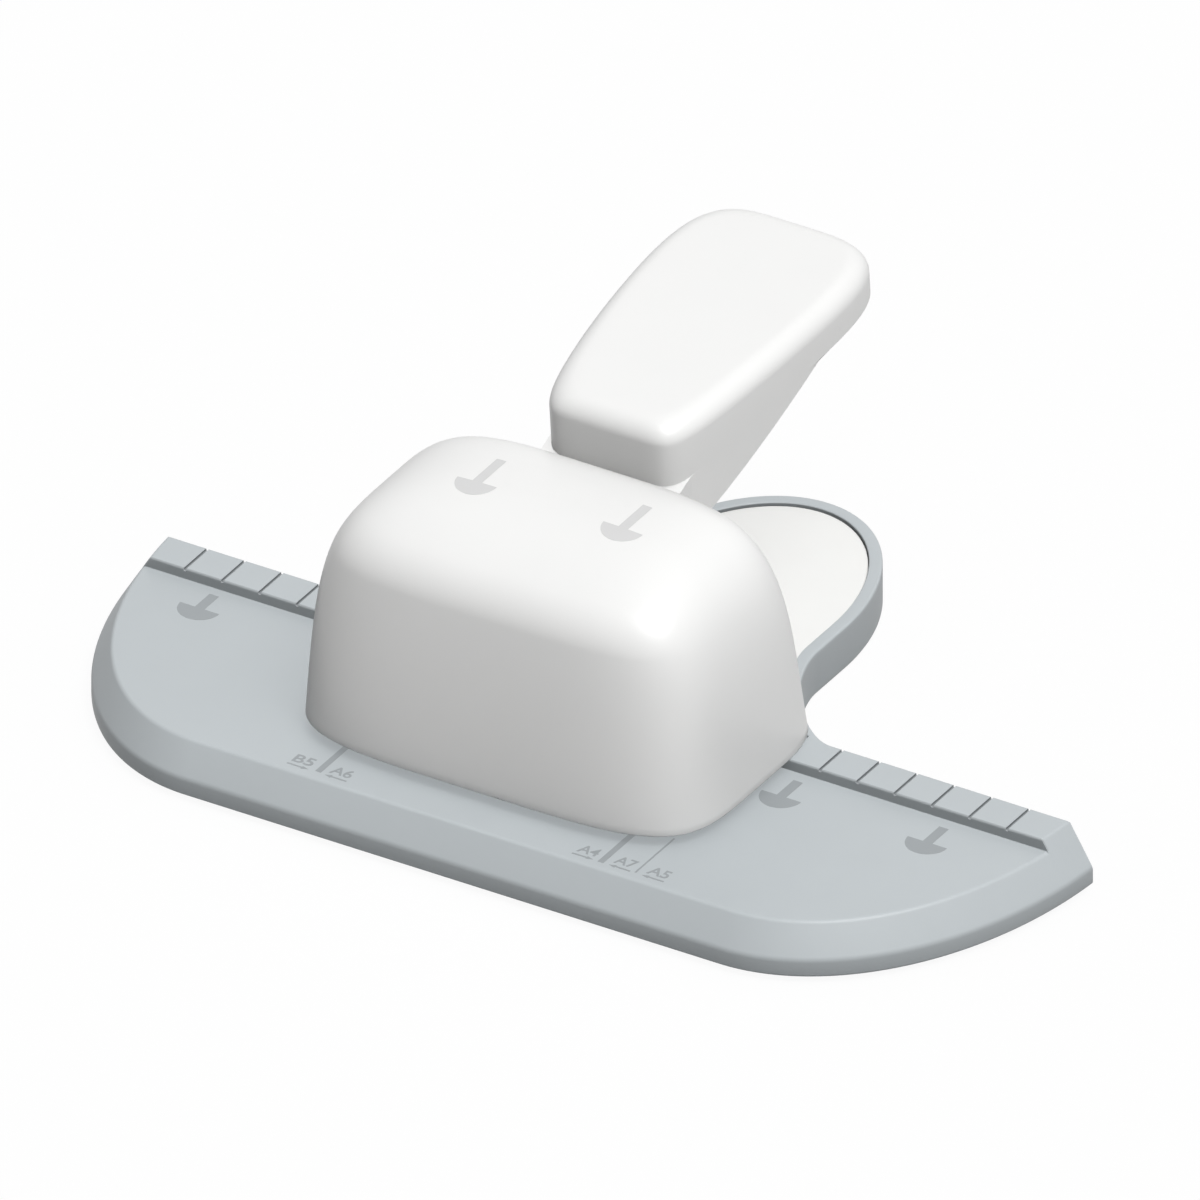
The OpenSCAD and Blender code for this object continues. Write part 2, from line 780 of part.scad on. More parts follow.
module pivot_pin() {
    color(steel) in_unit()
        rod_x([pivot_y, pivot_z], pivot_r, -frame_w / 2 - frame_t - pin_over, frame_w / 2 + frame_t + pin_over);
}

module pivot_clips() {
    color(dark_steel) in_unit() both_sides()
        ring_x([pivot_y, pivot_z], pivot_r + clip_wall, pivot_r + fit,
            frame_w / 2 + frame_t + clip_gap, frame_w / 2 + frame_t + clip_gap + clip_t);
}

module pivot_spacers() {
    color(dark_steel) in_unit() both_sides()
        ring_x([pivot_y, pivot_z], spacer_r, pivot_r + fit,
            lever_half + seat_clear, frame_w / 2 - seat_clear);
}

// Dome with the given wall taken off all round, from foot_z up
module dome(wall, foot_z) {
    loft([for (up = dome_levels()) dome_ring(up, wall, foot_z)]);
}

// Opening in the rear wall that the lever swings in
module lever_opening() {
    half = lever_half + 1;
    top = hump_z + 1.1;
    foot = pivot_z - 4;
    block([-half, 0, foot], [half, housing_d, top]);
}

module housing_shell() {
    color(white) in_unit() difference() {
        union() {
            difference() {
                dome(0, fence_z);
                dome(housing_wall, fence_z - eps);
                lever_opening();
            }
            intersection() {
                dome(eps, fence_z);
                for (side = [-1, 1])
                    rod_z([side * housing_screw_x, housing_screw_y], boss_d / 2, fence_z, fence_z + boss_h);
            }
        }
        for (side = [-1, 1])
            rod_z([side * housing_screw_x, housing_screw_y], housing_screw_d / 2 + fit,
                fence_z - past, fence_z + boss_h - housing_wall);
    }
}

module housing_screws() {
    color(dark_steel) in_unit()
        for (side = [-1, 1]) {
            rod_z([side * housing_screw_x, housing_screw_y], housing_head_d / 2,
                housing_head_z - housing_head_h, housing_head_z);
            rod_z([side * housing_screw_x, housing_screw_y], housing_screw_d / 2,
                housing_head_z - eps, fence_z + boss_h - housing_wall - seat_clear);
        }
}

module press_bar() {
    color(steel) in_unit() difference() {
        block([-bar_half, punch_y - bar_d / 2, bar_z], [bar_half, punch_y + bar_d / 2, bar_top]);
        for (side = [-1, 1]) {
            rod_z([side * post_x, punch_y], post_d / 2 + run_clear, bar_z - past, bar_top + past);
            mushroom(side * pitch / 2, fit, bar_z - past, bar_z + punch_bite + fit);
            translate([side * pitch / 2, punch_y - bar_d, bar_z + punch_bite / 2])
                rotate([-90, 0, 0]) cylinder(r = 0.75 + fit, h = 2 * bar_d);
        }
    }
}

module punch(side) {
    color(steel) in_unit() difference() {
        mushroom(side * pitch / 2, 0, web_z + punch_rest, bar_z + punch_bite);
        translate([side * pitch / 2, punch_y - bar_d, bar_z + punch_bite / 2])
            rotate([-90, 0, 0]) cylinder(r = 0.75 + fit, h = 2 * bar_d);
    }
}

module punch_pins() {
    color(dark_steel) in_unit()
        for (side = [-1, 1])
            translate([side * pitch / 2, punch_y - bar_d / 2, bar_z + punch_bite / 2])
                rotate([-90, 0, 0]) cylinder(r = 0.75, h = bar_d);
}

// Height of the lever's top plate at a given y
function web_line(y) = neck_line(y) + web_rise;

// Side plate of the lever: pivot, hump over the press bar, neck and handle
function lever_profile() = [
    [pivot_y + pivot_boss - 1.5, pivot_z - 2.5], [pivot_y + pivot_boss + 2, pivot_z + 1.5],
    [roller_y - 6.3, roller_z - 2.9], [roller_y - 3, roller_z - 2.4], [roller_y + 3, roller_z - 1],
    [roller_y + hump_half, roller_z], [neck_y, neck_line(neck_y) - 4.6],
    [neck_y + 9, neck_line(neck_y + 9) - 0.4], [arm_end_y, neck_line(arm_end_y) + 2.2],
    [arm_end_y, web_line(arm_end_y)], [neck_y + web_start, web_line(neck_y + web_start)],
    [neck_y + neck_break, neck_line(neck_y + neck_break) + 1.5], [neck_y, neck_line(neck_y) - 0.2],
    [roller_y + hump_half, hump_z], [roller_y - 2, hump_z - 0.6],
    [pivot_y + 1, pivot_z + pivot_boss], [pivot_y - 2, pivot_z + pivot_boss - 1]
];

// Top plate that joins the lever's two sides inside the handle
function lever_web() = [
    [neck_y + web_start, web_line(neck_y + web_start) - lever_t],
    [arm_end_y, web_line(arm_end_y) - lever_t],
    [arm_end_y, web_line(arm_end_y)], [neck_y + web_start, web_line(neck_y + web_start)]
];

module lever_arm() {
    color(steel) in_unit() difference() {
        union() {
            both_sides() {
                side_prism(lever_profile(), lever_half - lever_t, lever_half);
                rod_x([pivot_y, pivot_z], pivot_boss, lever_half - lever_t, lever_half);
                rod_x([roller_y, roller_z], roller_boss, lever_half - lever_t, lever_half);
            }
            side_prism(lever_web(), eps - lever_half, lever_half - eps);
        }
        rod_x([pivot_y, pivot_z], pivot_r + run_clear, -lever_w, lever_w);
        rod_x([roller_y, roller_z], roller_pin_r + fit, -lever_w, lever_w);
        for (y = arm_screw_y)
            on_web(y) rod_z([0, 0], handle_screw_d / 2 + 0.2, -2 * lever_t, past);
    }
}

module press_roller() {
    color(steel) in_unit()
        ring_x([roller_y, roller_z], roller_r, roller_pin_r + run_clear,
            lever_t + 0.2 - lever_half, lever_half - lever_t - 0.2);
}

module roller_pin() {
    color(dark_steel) in_unit()
        rod_x([roller_y, roller_z], roller_pin_r, -lever_half - pin_over, lever_half + pin_over);
}

module roller_clips() {
    color(dark_steel) in_unit() both_sides()
        ring_x([roller_y, roller_z], roller_pin_r + clip_wall, roller_pin_r + fit,
            lever_half + clip_gap, lever_half + clip_gap + clip_t);
}

// Places children in the tilted frame of the handle pad, with z from its top
module on_pad() {
    translate([0, pad_cy, pad_cz]) rotate([pad_tilt, 0, 0]) children();
}

// Pad with upright sides, a rounded top edge and a crowned top
module pad_solid() {
    rounds = [0, 22, 44, 66, 90];
    rings = concat(
        [pad_ring(0, -pad_t, 0, pad_thin)],
        [for (a = rounds) pad_ring(pad_edge * (1 - cos(a)), -pad_edge * (1 - sin(a)), pad_crown, 0)],
        [for (share = [0.55, 0.75]) pad_ring(share * pad_side(0), 0, pad_crown, 0)]
    );
    on_pad() loft(rings, curved = true);
}

// Height of the lever's arm at a given y
function neck_line(y) = neck_foot_z + (y - neck_y) * tan(neck_slope);

// Place in the side view of a point u along the pad and z above its top
function pad_point(u, z) =
    [pad_cy + u * cos(pad_tilt) - z * sin(pad_tilt), pad_cz + u * sin(pad_tilt) + z * cos(pad_tilt)];

// Side profile of the neck: lip under the pad's front, heel behind the housing, sloping underside
function neck_profile() =
    let (low = pad_point(-pad_half, -pad_t))
    let (high = pad_point(thin_run - pad_half, pad_thin - pad_t))
    let (rise = (high[1] - low[1]) / (high[0] - low[0]))
    let (tip = pad_front + tip_back)
    let (heel = [pad_front + heel_back, pad_foot_z - heel_drop])
    let (under = tan(under_slope))
    let (end = (heel[1] - under * heel[0] - low[1] - neck_over + rise * low[0]) / (rise - under))
    [
        [tip, pad_foot_z - tip_drop], [tip + 2.4, pad_foot_z - tip_drop - 0.7], [tip + 3.4, pad_foot_z - tip_drop - 2.8], heel,
        [end, heel[1] + under * (end - heel[0])], [tip, low[1] + neck_over + rise * (tip - low[0])]
    ];

// Plan of the neck, flush with the pad's sides and rounded at its two front corners
function neck_plan() =
    let (tip = pad_front + tip_back)
    let (back = pad_cy + (pad_t - pad_thin / 2) * sin(pad_tilt))
    let (edge = [for (i = [0:24])
        let (y = tip + 1.5 * i)
        [pad_side(((y - back) / cos(pad_tilt) / pad_half + 1) / 2) - fit, y]])
    let (side = concat(
        [for (a = [0:15:90]) [edge[0][0] - neck_round * (1 - sin(a)), tip + neck_round * (1 - cos(a))]],
        [for (p = edge) if (p[1] > tip + neck_round) p]))
    concat(side, [for (i = [len(side) - 1:-1:0]) [-side[i][0], side[i][1]]]);

// Wedge under the pad that holds the lever's arm
module neck_solid() {
    intersection() {
        side_prism(neck_profile(), -pad_w, pad_w);
        linear_extrude(4 * housing_top) polygon(neck_plan());
    }
}

// Channel for the steel lever, open below and to the front
function channel_profile() = [
    [neck_y - 2, neck_foot_z - pad_t], [arm_end_y + 0.5, neck_foot_z - pad_t],
    [arm_end_y + 0.5, web_line(arm_end_y + 0.5) + fit],
    [neck_y + web_start, web_line(neck_y + web_start) + fit],
    [neck_y + neck_break, neck_line(neck_y + neck_break) + 1.8], [neck_y - 2, neck_foot_z - 0.4]
];

// Places children on the lever's top plate, with z square to the plate
module on_web(y) {
    translate([0, y, web_line(y)]) rotate([neck_slope, 0, 0]) children();
}

module handle_shell() {
    color(white) in_unit() difference() {
        union() {
            pad_solid();
            neck_solid();
        }
        side_prism(channel_profile(), -lever_half - seat_clear, lever_half + seat_clear);
        for (y = arm_screw_y)
            on_web(y) rod_z([0, 0], handle_screw_d / 2 + fit, -past, handle_bite + seat_clear);
    }
}

module handle_screws() {
    under = -lever_t * cos(neck_slope);
    color(dark_steel) in_unit()
        for (y = arm_screw_y)
            on_web(y) {
                rod_z([0, 0], handle_screw_d / 2, under - eps, handle_bite);
                rod_z([0, 0], handle_head_d / 2, under - handle_head_h, under);
            }
}

base_shell();
tongue_inlay();
bottom_cover();
cover_screws();
rubber_feet();
chip_tray();
die_plate();
paper_stop();
punch_frame();
frame_screws();
guide_post(-1);  // left_guide_post
guide_post(1);  // right_guide_post
post_clips();
return_spring(-1);  // left_spring
return_spring(1);  // right_spring
pivot_pin();
pivot_clips();
pivot_spacers();
housing_shell();
housing_screws();
press_bar();
punch(-1);  // left_punch
punch(1);  // right_punch
punch_pins();
lever_arm();
press_roller();
roller_pin();
roller_clips();
handle_shell();
handle_screws();
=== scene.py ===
import math

import bmesh
import bpy
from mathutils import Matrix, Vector
from mathutils.bvhtree import BVHTree


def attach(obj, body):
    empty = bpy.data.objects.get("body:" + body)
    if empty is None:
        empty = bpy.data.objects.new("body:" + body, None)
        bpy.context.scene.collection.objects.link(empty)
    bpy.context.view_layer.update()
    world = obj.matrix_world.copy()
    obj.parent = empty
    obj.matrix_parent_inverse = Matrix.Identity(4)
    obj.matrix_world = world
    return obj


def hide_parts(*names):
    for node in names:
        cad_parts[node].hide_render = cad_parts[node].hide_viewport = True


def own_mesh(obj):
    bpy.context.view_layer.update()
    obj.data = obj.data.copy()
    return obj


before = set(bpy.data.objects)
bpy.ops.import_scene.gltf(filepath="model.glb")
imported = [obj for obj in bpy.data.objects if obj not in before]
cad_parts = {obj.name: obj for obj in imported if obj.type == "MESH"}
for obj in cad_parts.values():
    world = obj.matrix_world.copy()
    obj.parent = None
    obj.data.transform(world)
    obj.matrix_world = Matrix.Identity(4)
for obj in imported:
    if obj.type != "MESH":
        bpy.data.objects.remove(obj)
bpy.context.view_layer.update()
print("frame loaded,", len(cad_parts), "nodes")

mm = 0.001

# the paper fence's front face, the height of the feet and the punch unit's middle, in mm
origin = {"fenceY": -14.15, "footH": 1.0, "unitX": -1.6}

cameraSet = {"azimuth": 31.1, "elevation": 31.64, "aim": (0.0, -0.01294, 0.02740), "width": 0.17876, "away": 0.6,
             "near": 0.01, "far": 10.0}


def aimCamera(look):
    a, e = math.radians(look["azimuth"]), math.radians(look["elevation"])
    back = Vector((math.sin(a) * math.cos(e), -math.cos(a) * math.cos(e), math.sin(e)))
    data = bpy.data.cameras.new("photoCamera")
    data.type = "ORTHO"
    data.ortho_scale = look["width"]
    data.clip_start, data.clip_end = look["near"], look["far"]
    camera = bpy.data.objects.new("photoCamera", data)
    camera.location = Vector(look["aim"]) + back * look["away"]
    camera.rotation_mode = "QUATERNION"
    camera.rotation_quaternion = (-back).to_track_quat("-Z", "Y")
    bpy.context.scene.collection.objects.link(camera)
    bpy.context.scene.camera = camera


aimCamera(cameraSet)
bpy.context.scene.view_settings.view_transform = "Standard"
print("camera set")


class Tone:
    # one shader socket: maths on it adds Math nodes
    def __init__(self, tree, socket=None):
        self.tree, self.socket = tree, socket

    def add(self, kind, settings=None, sockets=None, out=0):
        node = self.tree.nodes.new(kind)
        for key, value in (settings or {}).items():
            setattr(node, key, value)
        for key, value in (sockets or {}).items():
            if isinstance(value, Tone):
                self.tree.links.new(value.socket, node.inputs[key])
            else:
                node.inputs[key].default_value = value
        return Tone(self.tree, node.outputs[out])

    def maths(self, operation, first, second):
        return self.add("ShaderNodeMath", {"operation": operation}, {0: first, 1: second})

    def __add__(self, other):
        return self.maths("ADD", self, other)

    def __radd__(self, other):
        return self.maths("ADD", other, self)

    def __sub__(self, other):
        return self.maths("SUBTRACT", self, other)

    def __rsub__(self, other):
        return self.maths("SUBTRACT", other, self)

    def __mul__(self, other):
        return self.maths("MULTIPLY", self, other)

    def __rmul__(self, other):
        return self.maths("MULTIPLY", other, self)

    def __gt__(self, other):
        return self.maths("GREATER_THAN", self, other)

    def __lt__(self, other):
        return self.maths("LESS_THAN", self, other)


def newMaterial(name):
    material = bpy.data.materials.new(name)
    material.use_nodes = True
    material.node_tree.nodes.clear()
    return material, Tone(material.node_tree)


def linear(red, green, blue):
    def channel(c):
        c /= 255
        return c / 12.92 if c <= 0.04045 else ((c + 0.055) / 1.055) ** 2.4
    return (channel(red), channel(green), channel(blue), 1.0)


def shaded(colour, share):
    return (colour[0] * share, colour[1] * share, colour[2] * share, 1.0)


def mixColour(pen, share, first, second):
    return pen.add("ShaderNodeMix", {"data_type": "RGBA"}, {0: share, 6: first, 7: second}, out=2)


def noise(pen, where, scale, detail):
    return pen.add("ShaderNodeTexNoise", None, {"Vector": where, "Scale": scale, "Detail": detail})


def finishTree(pen, skin, kind="ShaderNodeOutputMaterial"):
    node = pen.tree.nodes.new(kind)
    pen.tree.links.new(skin.socket, node.inputs["Surface"])


# painted shade on the base, by place in metres
baseShade = {"dark": 0.5, "bandTop": 0.0040, "bandShade": 0.3, "bandSoft": 0.0005,
             "tongueFrom": 0.004, "tongueTop": 0.0071,
             "fenceFrom": -0.0146, "fenceTo": -0.0139, "fenceLow": 0.0091, "fenceShade": 0.45,
             "grooveTo": -0.00755, "grooveTop": 0.01072, "grooveHalf": 0.0725,
             "seamShadeX": -0.0016, "seamShadeY": 0.02685, "seamShadeHalf": 0.0184, "seamShadeLong": 0.0271,
             "seamShadeLow": 0.0055, "seamShadeTop": 0.0075}


# paints shade into the base's colour by place
def shadeBase(pen, where, colour, dark, t):
    along, depth, height = [pen.add("ShaderNodeSeparateXYZ", None, {0: where}, out=axis) for axis in "XYZ"]

    # painted shade on the fence's upright front face
    fence = (depth > t["fenceFrom"]) * (depth < t["fenceTo"]) * (height > t["fenceLow"])
    colour = mixColour(pen, fence * t["fenceShade"], colour, dark)

    # painted shade in the ruler grooves
    groove = (depth > t["fenceTo"]) * (depth < t["grooveTo"]) * (height > t["fenceLow"]) * (height < t["grooveTop"])
    inside = pen.maths("ABSOLUTE", along, 0.0) < t["grooveHalf"]
    colour = mixColour(pen, groove * inside, colour, dark)

    # painted shade in the seam round the inlay's rear end
    across = (along - t["seamShadeX"]) * (1 / t["seamShadeHalf"])
    back = (depth - t["seamShadeY"]) * (1 / t["seamShadeLong"])
    seamShade = (across * across + back * back < 1.0) * (back > 0.0) * (height > t["seamShadeLow"]) * (height < t["seamShadeTop"])
    colour = mixColour(pen, seamShade, colour, dark)

    # painted shade: a darker band round the foot, taller on the tongue
    edge = t["bandTop"] + (depth > t["tongueFrom"]) * (t["tongueTop"] - t["bandTop"])
    band = pen.add("ShaderNodeMapRange", {"interpolation_type": "SMOOTHSTEP"},
                   {"Value": height, "From Min": edge - t["bandSoft"], "From Max": edge + t["bandSoft"],
                    "To Min": 1.0, "To Max": 0.0})
    return mixColour(pen, band * t["bandShade"], colour, dark)


plasticGrain = {"cloudDetail": 3.0, "grainDetail": 2.0, "relief": 0.00005}


def mouldedPlastic(name, look, paintedShade=None):
    material, pen = newMaterial(name)
    where = pen.add("ShaderNodeTexCoord", out="Object")
    cloud = noise(pen, where, look["cloudScale"], plasticGrain["cloudDetail"])
    grain = noise(pen, where, look["grainScale"], plasticGrain["grainDetail"])
    plain, mottle = look["colour"], look["mottle"]
    colour = mixColour(pen, cloud, shaded(plain, 1 - mottle), shaded(plain, 1 + mottle))
    rough = look["roughness"] + (cloud - 0.5) * look["roughSpread"] + (grain - 0.5) * look["roughSpread"]
    bump = pen.add("ShaderNodeBump", None,
                   {"Strength": look["bump"], "Distance": plasticGrain["relief"], "Height": grain})
    if paintedShade:
        colour = shadeBase(pen, where, colour, shaded(plain, paintedShade["dark"]), paintedShade)
    skin = pen.add("ShaderNodeBsdfPrincipled", None,
                   {"Base Color": colour, "Roughness": rough, "IOR": look["ior"], "Normal": bump})
    finishTree(pen, skin)
    return material


metalWear = {"streakDetail": 4.0, "cloudScale": 180.0, "cloudDetail": 3.0, "streakShare": 0.6, "cloudShare": 0.4,
             "dull": 0.86, "bright": 1.08, "streakRough": 0.18, "cloudRough": 0.1, "relief": 0.00004}


def metal(name, look):
    wear = metalWear
    material, pen = newMaterial(name)
    where = pen.add("ShaderNodeTexCoord", out="Object")
    drawn = pen.add("ShaderNodeMapping", None, {"Vector": where, "Scale": look["stretch"]})
    streak = noise(pen, drawn, look["scale"], wear["streakDetail"])
    cloud = noise(pen, where, wear["cloudScale"], wear["cloudDetail"])
    colour = mixColour(pen, streak * wear["streakShare"] + cloud * wear["cloudShare"],
                       shaded(look["colour"], wear["dull"]), shaded(look["colour"], wear["bright"]))
    rough = look["roughness"] + (streak - 0.5) * wear["streakRough"] + (cloud - 0.5) * wear["cloudRough"]
    bump = pen.add("ShaderNodeBump", None, {"Strength": look["bump"], "Distance": wear["relief"], "Height": streak})
    skin = pen.add("ShaderNodeBsdfPrincipled", None,
                   {"Base Color": colour, "Metallic": 1.0, "Roughness": rough, "Normal": bump})
    finishTree(pen, skin)
    return material


whiteLook = {"colour": linear(243, 243, 242), "mottle": 0.012, "cloudScale": 90.0, "grainScale": 3200.0,
             "roughness": 0.33, "roughSpread": 0.05, "bump": 0.05, "ior": 1.5}
greyLook = {"colour": linear(189, 195, 198), "mottle": 0.02, "cloudScale": 110.0, "grainScale": 2600.0,
            "roughness": 0.46, "roughSpread": 0.07, "bump": 0.1, "ior": 1.49}
coverLook = {"colour": linear(176, 182, 185), "mottle": 0.03, "cloudScale": 120.0, "grainScale": 1800.0,
             "roughness": 0.55, "roughSpread": 0.08, "bump": 0.14, "ior": 1.49}
inlayLook = {"colour": linear(244, 244, 242), "mottle": 0.014, "cloudScale": 140.0, "grainScale": 2200.0,
             "roughness": 0.5, "roughSpread": 0.06, "bump": 0.1, "ior": 1.47}
trayLook = {"colour": linear(143, 149, 152), "mottle": 0.03, "cloudScale": 150.0, "grainScale": 2000.0,
            "roughness": 0.5, "roughSpread": 0.08, "bump": 0.1, "ior": 1.49}
rubberLook = {"colour": linear(58, 60, 61), "mottle": 0.1, "cloudScale": 300.0, "grainScale": 1500.0,
              "roughness": 0.78, "roughSpread": 0.1, "bump": 0.3, "ior": 1.52}
deckInkLook = {"colour": linear(158, 163, 166), "mottle": 0.02, "cloudScale": 300.0, "grainScale": 2600.0,
               "roughness": 0.55, "roughSpread": 0.06, "bump": 0.1, "ior": 1.48}
topInkLook = {"colour": linear(216, 216, 216), "mottle": 0.015, "cloudScale": 300.0, "grainScale": 2600.0,
              "roughness": 0.5, "roughSpread": 0.06, "bump": 0.08, "ior": 1.48}
sheetSteelLook = {"colour": linear(186, 190, 194), "stretch": (1.0, 14.0, 14.0), "scale": 260.0,
                  "roughness": 0.36, "bump": 0.16}
toolSteelLook = {"colour": linear(196, 198, 200), "stretch": (12.0, 12.0, 1.0), "scale": 320.0,
                 "roughness": 0.26, "bump": 0.1}
pinSteelLook = {"colour": linear(202, 204, 206), "stretch": (1.0, 10.0, 10.0), "scale": 400.0,
                "roughness": 0.2, "bump": 0.06}
springSteelLook = {"colour": linear(150, 154, 158), "stretch": (6.0, 6.0, 6.0), "scale": 500.0,
                   "roughness": 0.3, "bump": 0.08}
screwSteelLook = {"colour": linear(168, 172, 174), "stretch": (4.0, 4.0, 4.0), "scale": 420.0,
                  "roughness": 0.32, "bump": 0.1}

whitePlastic = mouldedPlastic("whitePlastic", whiteLook)
greyPlastic = mouldedPlastic("greyPlastic", greyLook, baseShade)
coverPlastic = mouldedPlastic("coverPlastic", coverLook)
inlayPlastic = mouldedPlastic("inlayPlastic", inlayLook)
trayPlastic = mouldedPlastic("trayPlastic", trayLook)
footRubber = mouldedPlastic("footRubber", rubberLook)
deckInk = mouldedPlastic("deckInk", deckInkLook)
topInk = mouldedPlastic("topInk", topInkLook)
sheetSteel = metal("sheetSteel", sheetSteelLook)
toolSteel = metal("toolSteel", toolSteelLook)
pinSteel = metal("pinSteel", pinSteelLook)
springSteel = metal("springSteel", springSteelLook)
screwSteel = metal("screwSteel", screwSteelLook)
print("materials made")

# finish of each CAD node
nodeFinish = {
    "base_shell": greyPlastic, "tongue_inlay": inlayPlastic, "bottom_cover": coverPlastic, "chip_tray": trayPlastic,
    "rubber_feet": footRubber, "housing_shell": whitePlastic, "handle_shell": whitePlastic,
    "die_plate": toolSteel, "paper_stop": toolSteel, "press_bar": toolSteel, "left_punch": toolSteel,
    "right_punch": toolSteel, "punch_frame": sheetSteel, "lever_arm": sheetSteel,
    "left_guide_post": pinSteel, "right_guide_post": pinSteel, "pivot_pin": pinSteel, "roller_pin": pinSteel,
    "press_roller": pinSteel, "punch_pins": pinSteel, "left_spring": springSteel, "right_spring": springSteel,
    "post_clips": springSteel, "pivot_clips": springSteel, "roller_clips": springSteel, "pivot_spacers": pinSteel,
    "cover_screws": screwSteel, "frame_screws": screwSteel, "housing_screws": screwSteel, "handle_screws": screwSteel,
}
for nodeName, finish in nodeFinish.items():
    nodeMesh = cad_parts[nodeName].data
    nodeMesh.materials.clear()
    nodeMesh.materials.append(finish)
print("CAD nodes finished:", len(nodeFinish))


def addPiece(name, bm):
    # closes the bmesh and puts its mesh in the scene
    bmesh.ops.recalc_face_normals(bm, faces=bm.faces)
    mesh = bpy.data.meshes.new(name)
    bm.to_mesh(mesh)
    bm.free()
    piece = bpy.data.objects.new(name, mesh)
    bpy.context.scene.collection.objects.link(piece)
    return piece


def newPiece(name, verts, faces):
    bm = bmesh.new()
    made = [bm.verts.new((x * mm, y * mm, z * mm)) for x, y, z in verts]
    for face in faces:
        bm.faces.new([made[i] for i in face])
    return addPiece(name, bm)


def loft(name, rings, topStrip=False):
    count, levels = len(rings[0]), len(rings)
    verts = [p for ring in rings for p in ring]
    faces = [tuple(range(count - 1, -1, -1))]
    last = (levels - 1) * count
    if topStrip:  # the top is closed by strips from side to side, so that it can be curved lengthways
        for i in range(-count // 4, count // 4):
            corners = [i % count, (i + 1) % count, (count // 2 - i - 1) % count, (count // 2 - i) % count]
            faces.append(tuple(last + c for c in dict.fromkeys(corners)))
    else:
        faces.append(tuple(last + i for i in range(count)))
    for j in range(levels - 1):
        for i in range(count):
            k = (i + 1) % count
            faces.append((j * count + i, j * count + k, (j + 1) * count + k, (j + 1) * count + i))
    return newPiece(name, verts, faces)


def box(name, low, high):
    ring = [(low[0], low[1]), (high[0], low[1]), (high[0], high[1]), (low[0], high[1])]
    return loft(name, [[(x, y, z) for x, y in ring] for z in (low[2], high[2])])


def circle(x, y, r):
    return [(x + r * math.cos(t * math.pi / 16), y + r * math.sin(t * math.pi / 16)) for t in range(32)]


def combine(piece, other, how):
    modifier = piece.modifiers.new(how, "BOOLEAN")
    modifier.operation, modifier.object, modifier.solver = how, other, "EXACT"
    graph = bpy.context.evaluated_depsgraph_get()
    made = bpy.data.meshes.new_from_object(piece.evaluated_get(graph))
    piece.modifiers.clear()
    piece.data = made
    bpy.data.objects.remove(other)
    return piece


def onBase(points):
    return [(x, y + origin["fenceY"], z + origin["footH"]) for x, y, z in points]


def inUnit(points):
    return [(x + origin["unitX"], y + origin["fenceY"], z + origin["footH"]) for x, y, z in points]


def settle(piece, body, nodes, finish, angle=32):
    mesh = piece.data
    mesh.materials.clear()
    mesh.materials.append(finish)
    for face in mesh.polygons:
        face.use_smooth = True
        face.material_index = 0
    mesh.set_sharp_from_angle(angle=math.radians(angle))
    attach(piece, body)
    if nodes:
        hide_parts(*nodes)
    return piece


def superPoint(phi, power):
    c, s = math.cos(phi), math.sin(phi)
    r = (abs(c) ** power + abs(s) ** power) ** (-1 / power)
    return r * c, r * s


housing = {"w": 71.0, "d": 47.0, "front": 8.6, "wall": 1.8, "leanSide": 2.4, "leanBack": 7.4, "plan": 4.5, "dome": 4.8,
           "domeBack": 7.4, "foot": 9.8, "top": 48.85, "faceLean": 2.6, "faceBow": 1.8, "browAt": 38.3, "brow": 9.0,
           "browEnd": 60.0, "crownEnd": 88.6, "crestMove": 2.7, "crestPower": 8,
           "rimRound": 0.3, "rimTurns": (0, 30, 60, 90),
           "slotHalf": 11.0, "slotLow": 21.95, "slotHigh": 41.55, "slotBack": 40.0, "around": 240,
           "bossX": 26.6, "bossY": 7.2, "bossR": 2.7, "bossGap": 0.05, "bossTop": 19.0}


def browArcs():
    # middles and turns of the front brow and of the shoulder above it
    s = housing
    start = math.atan(s["faceLean"] * s["faceBow"] / (s["browAt"] - s["foot"]))
    end = math.radians(s["browEnd"])
    y = s["faceLean"] - s["d"] / 2 - s["front"] + s["brow"] * math.cos(start)
    z = s["browAt"] - s["brow"] * math.sin(start)
    wide = (s["top"] - z - s["brow"] * math.sin(end)) / (1 - math.sin(end))
    shoulder = (y + (wide - s["brow"]) * math.cos(end), s["top"] - wide)
    return {"start": start, "end": end, "brow": (y, z), "shoulder": shoulder, "wide": wide}


def frontLine(z):
    s, arcs = housing, browArcs()
    if z <= s["browAt"]:
        up = (z - s["foot"]) / (s["browAt"] - s["foot"])
        return s["faceLean"] * up ** s["faceBow"] - s["d"] / 2 - s["front"]
    (y, mid), r = arcs["brow"], s["brow"]
    if z > mid + r * math.sin(arcs["end"]):
        (y, mid), r = arcs["shoulder"], arcs["wide"]
    return y - math.sqrt(max(r * r - (z - mid) ** 2, 0))


def domeRing(z, wall=0, trim=0, lift=0):
    # one level ring; a wall draws it in toward the middle
    s = housing
    tall = s["top"] - s["foot"]
    up = (z - s["foot"]) / tall
    keep = (1 - up ** s["dome"]) ** (1 / s["dome"])
    keepBack = keep ** (s["dome"] / s["domeBack"])
    middle = s["crestMove"] * up ** s["crestPower"] - s["front"]
    half = keep * (s["w"] / 2 - s["leanSide"] * up) * (1 - 2 * wall / s["w"]) - trim
    ahead = (middle - frontLine(z)) * (1 - 2 * wall / s["d"]) - trim
    behind = (keepBack * (s["d"] / 2 - s["leanBack"] * up) - s["front"] - middle) * (1 - 2 * wall / s["d"]) - trim
    level = s["foot"] + lift + (z - s["foot"]) * (1 - wall / tall)
    ring = []
    for i in range(s["around"]):
        x, y = superPoint(2 * math.pi * i / s["around"], s["plan"])
        ring.append((half * x, middle + (ahead if y < 0 else behind) * y, level))
    return ring


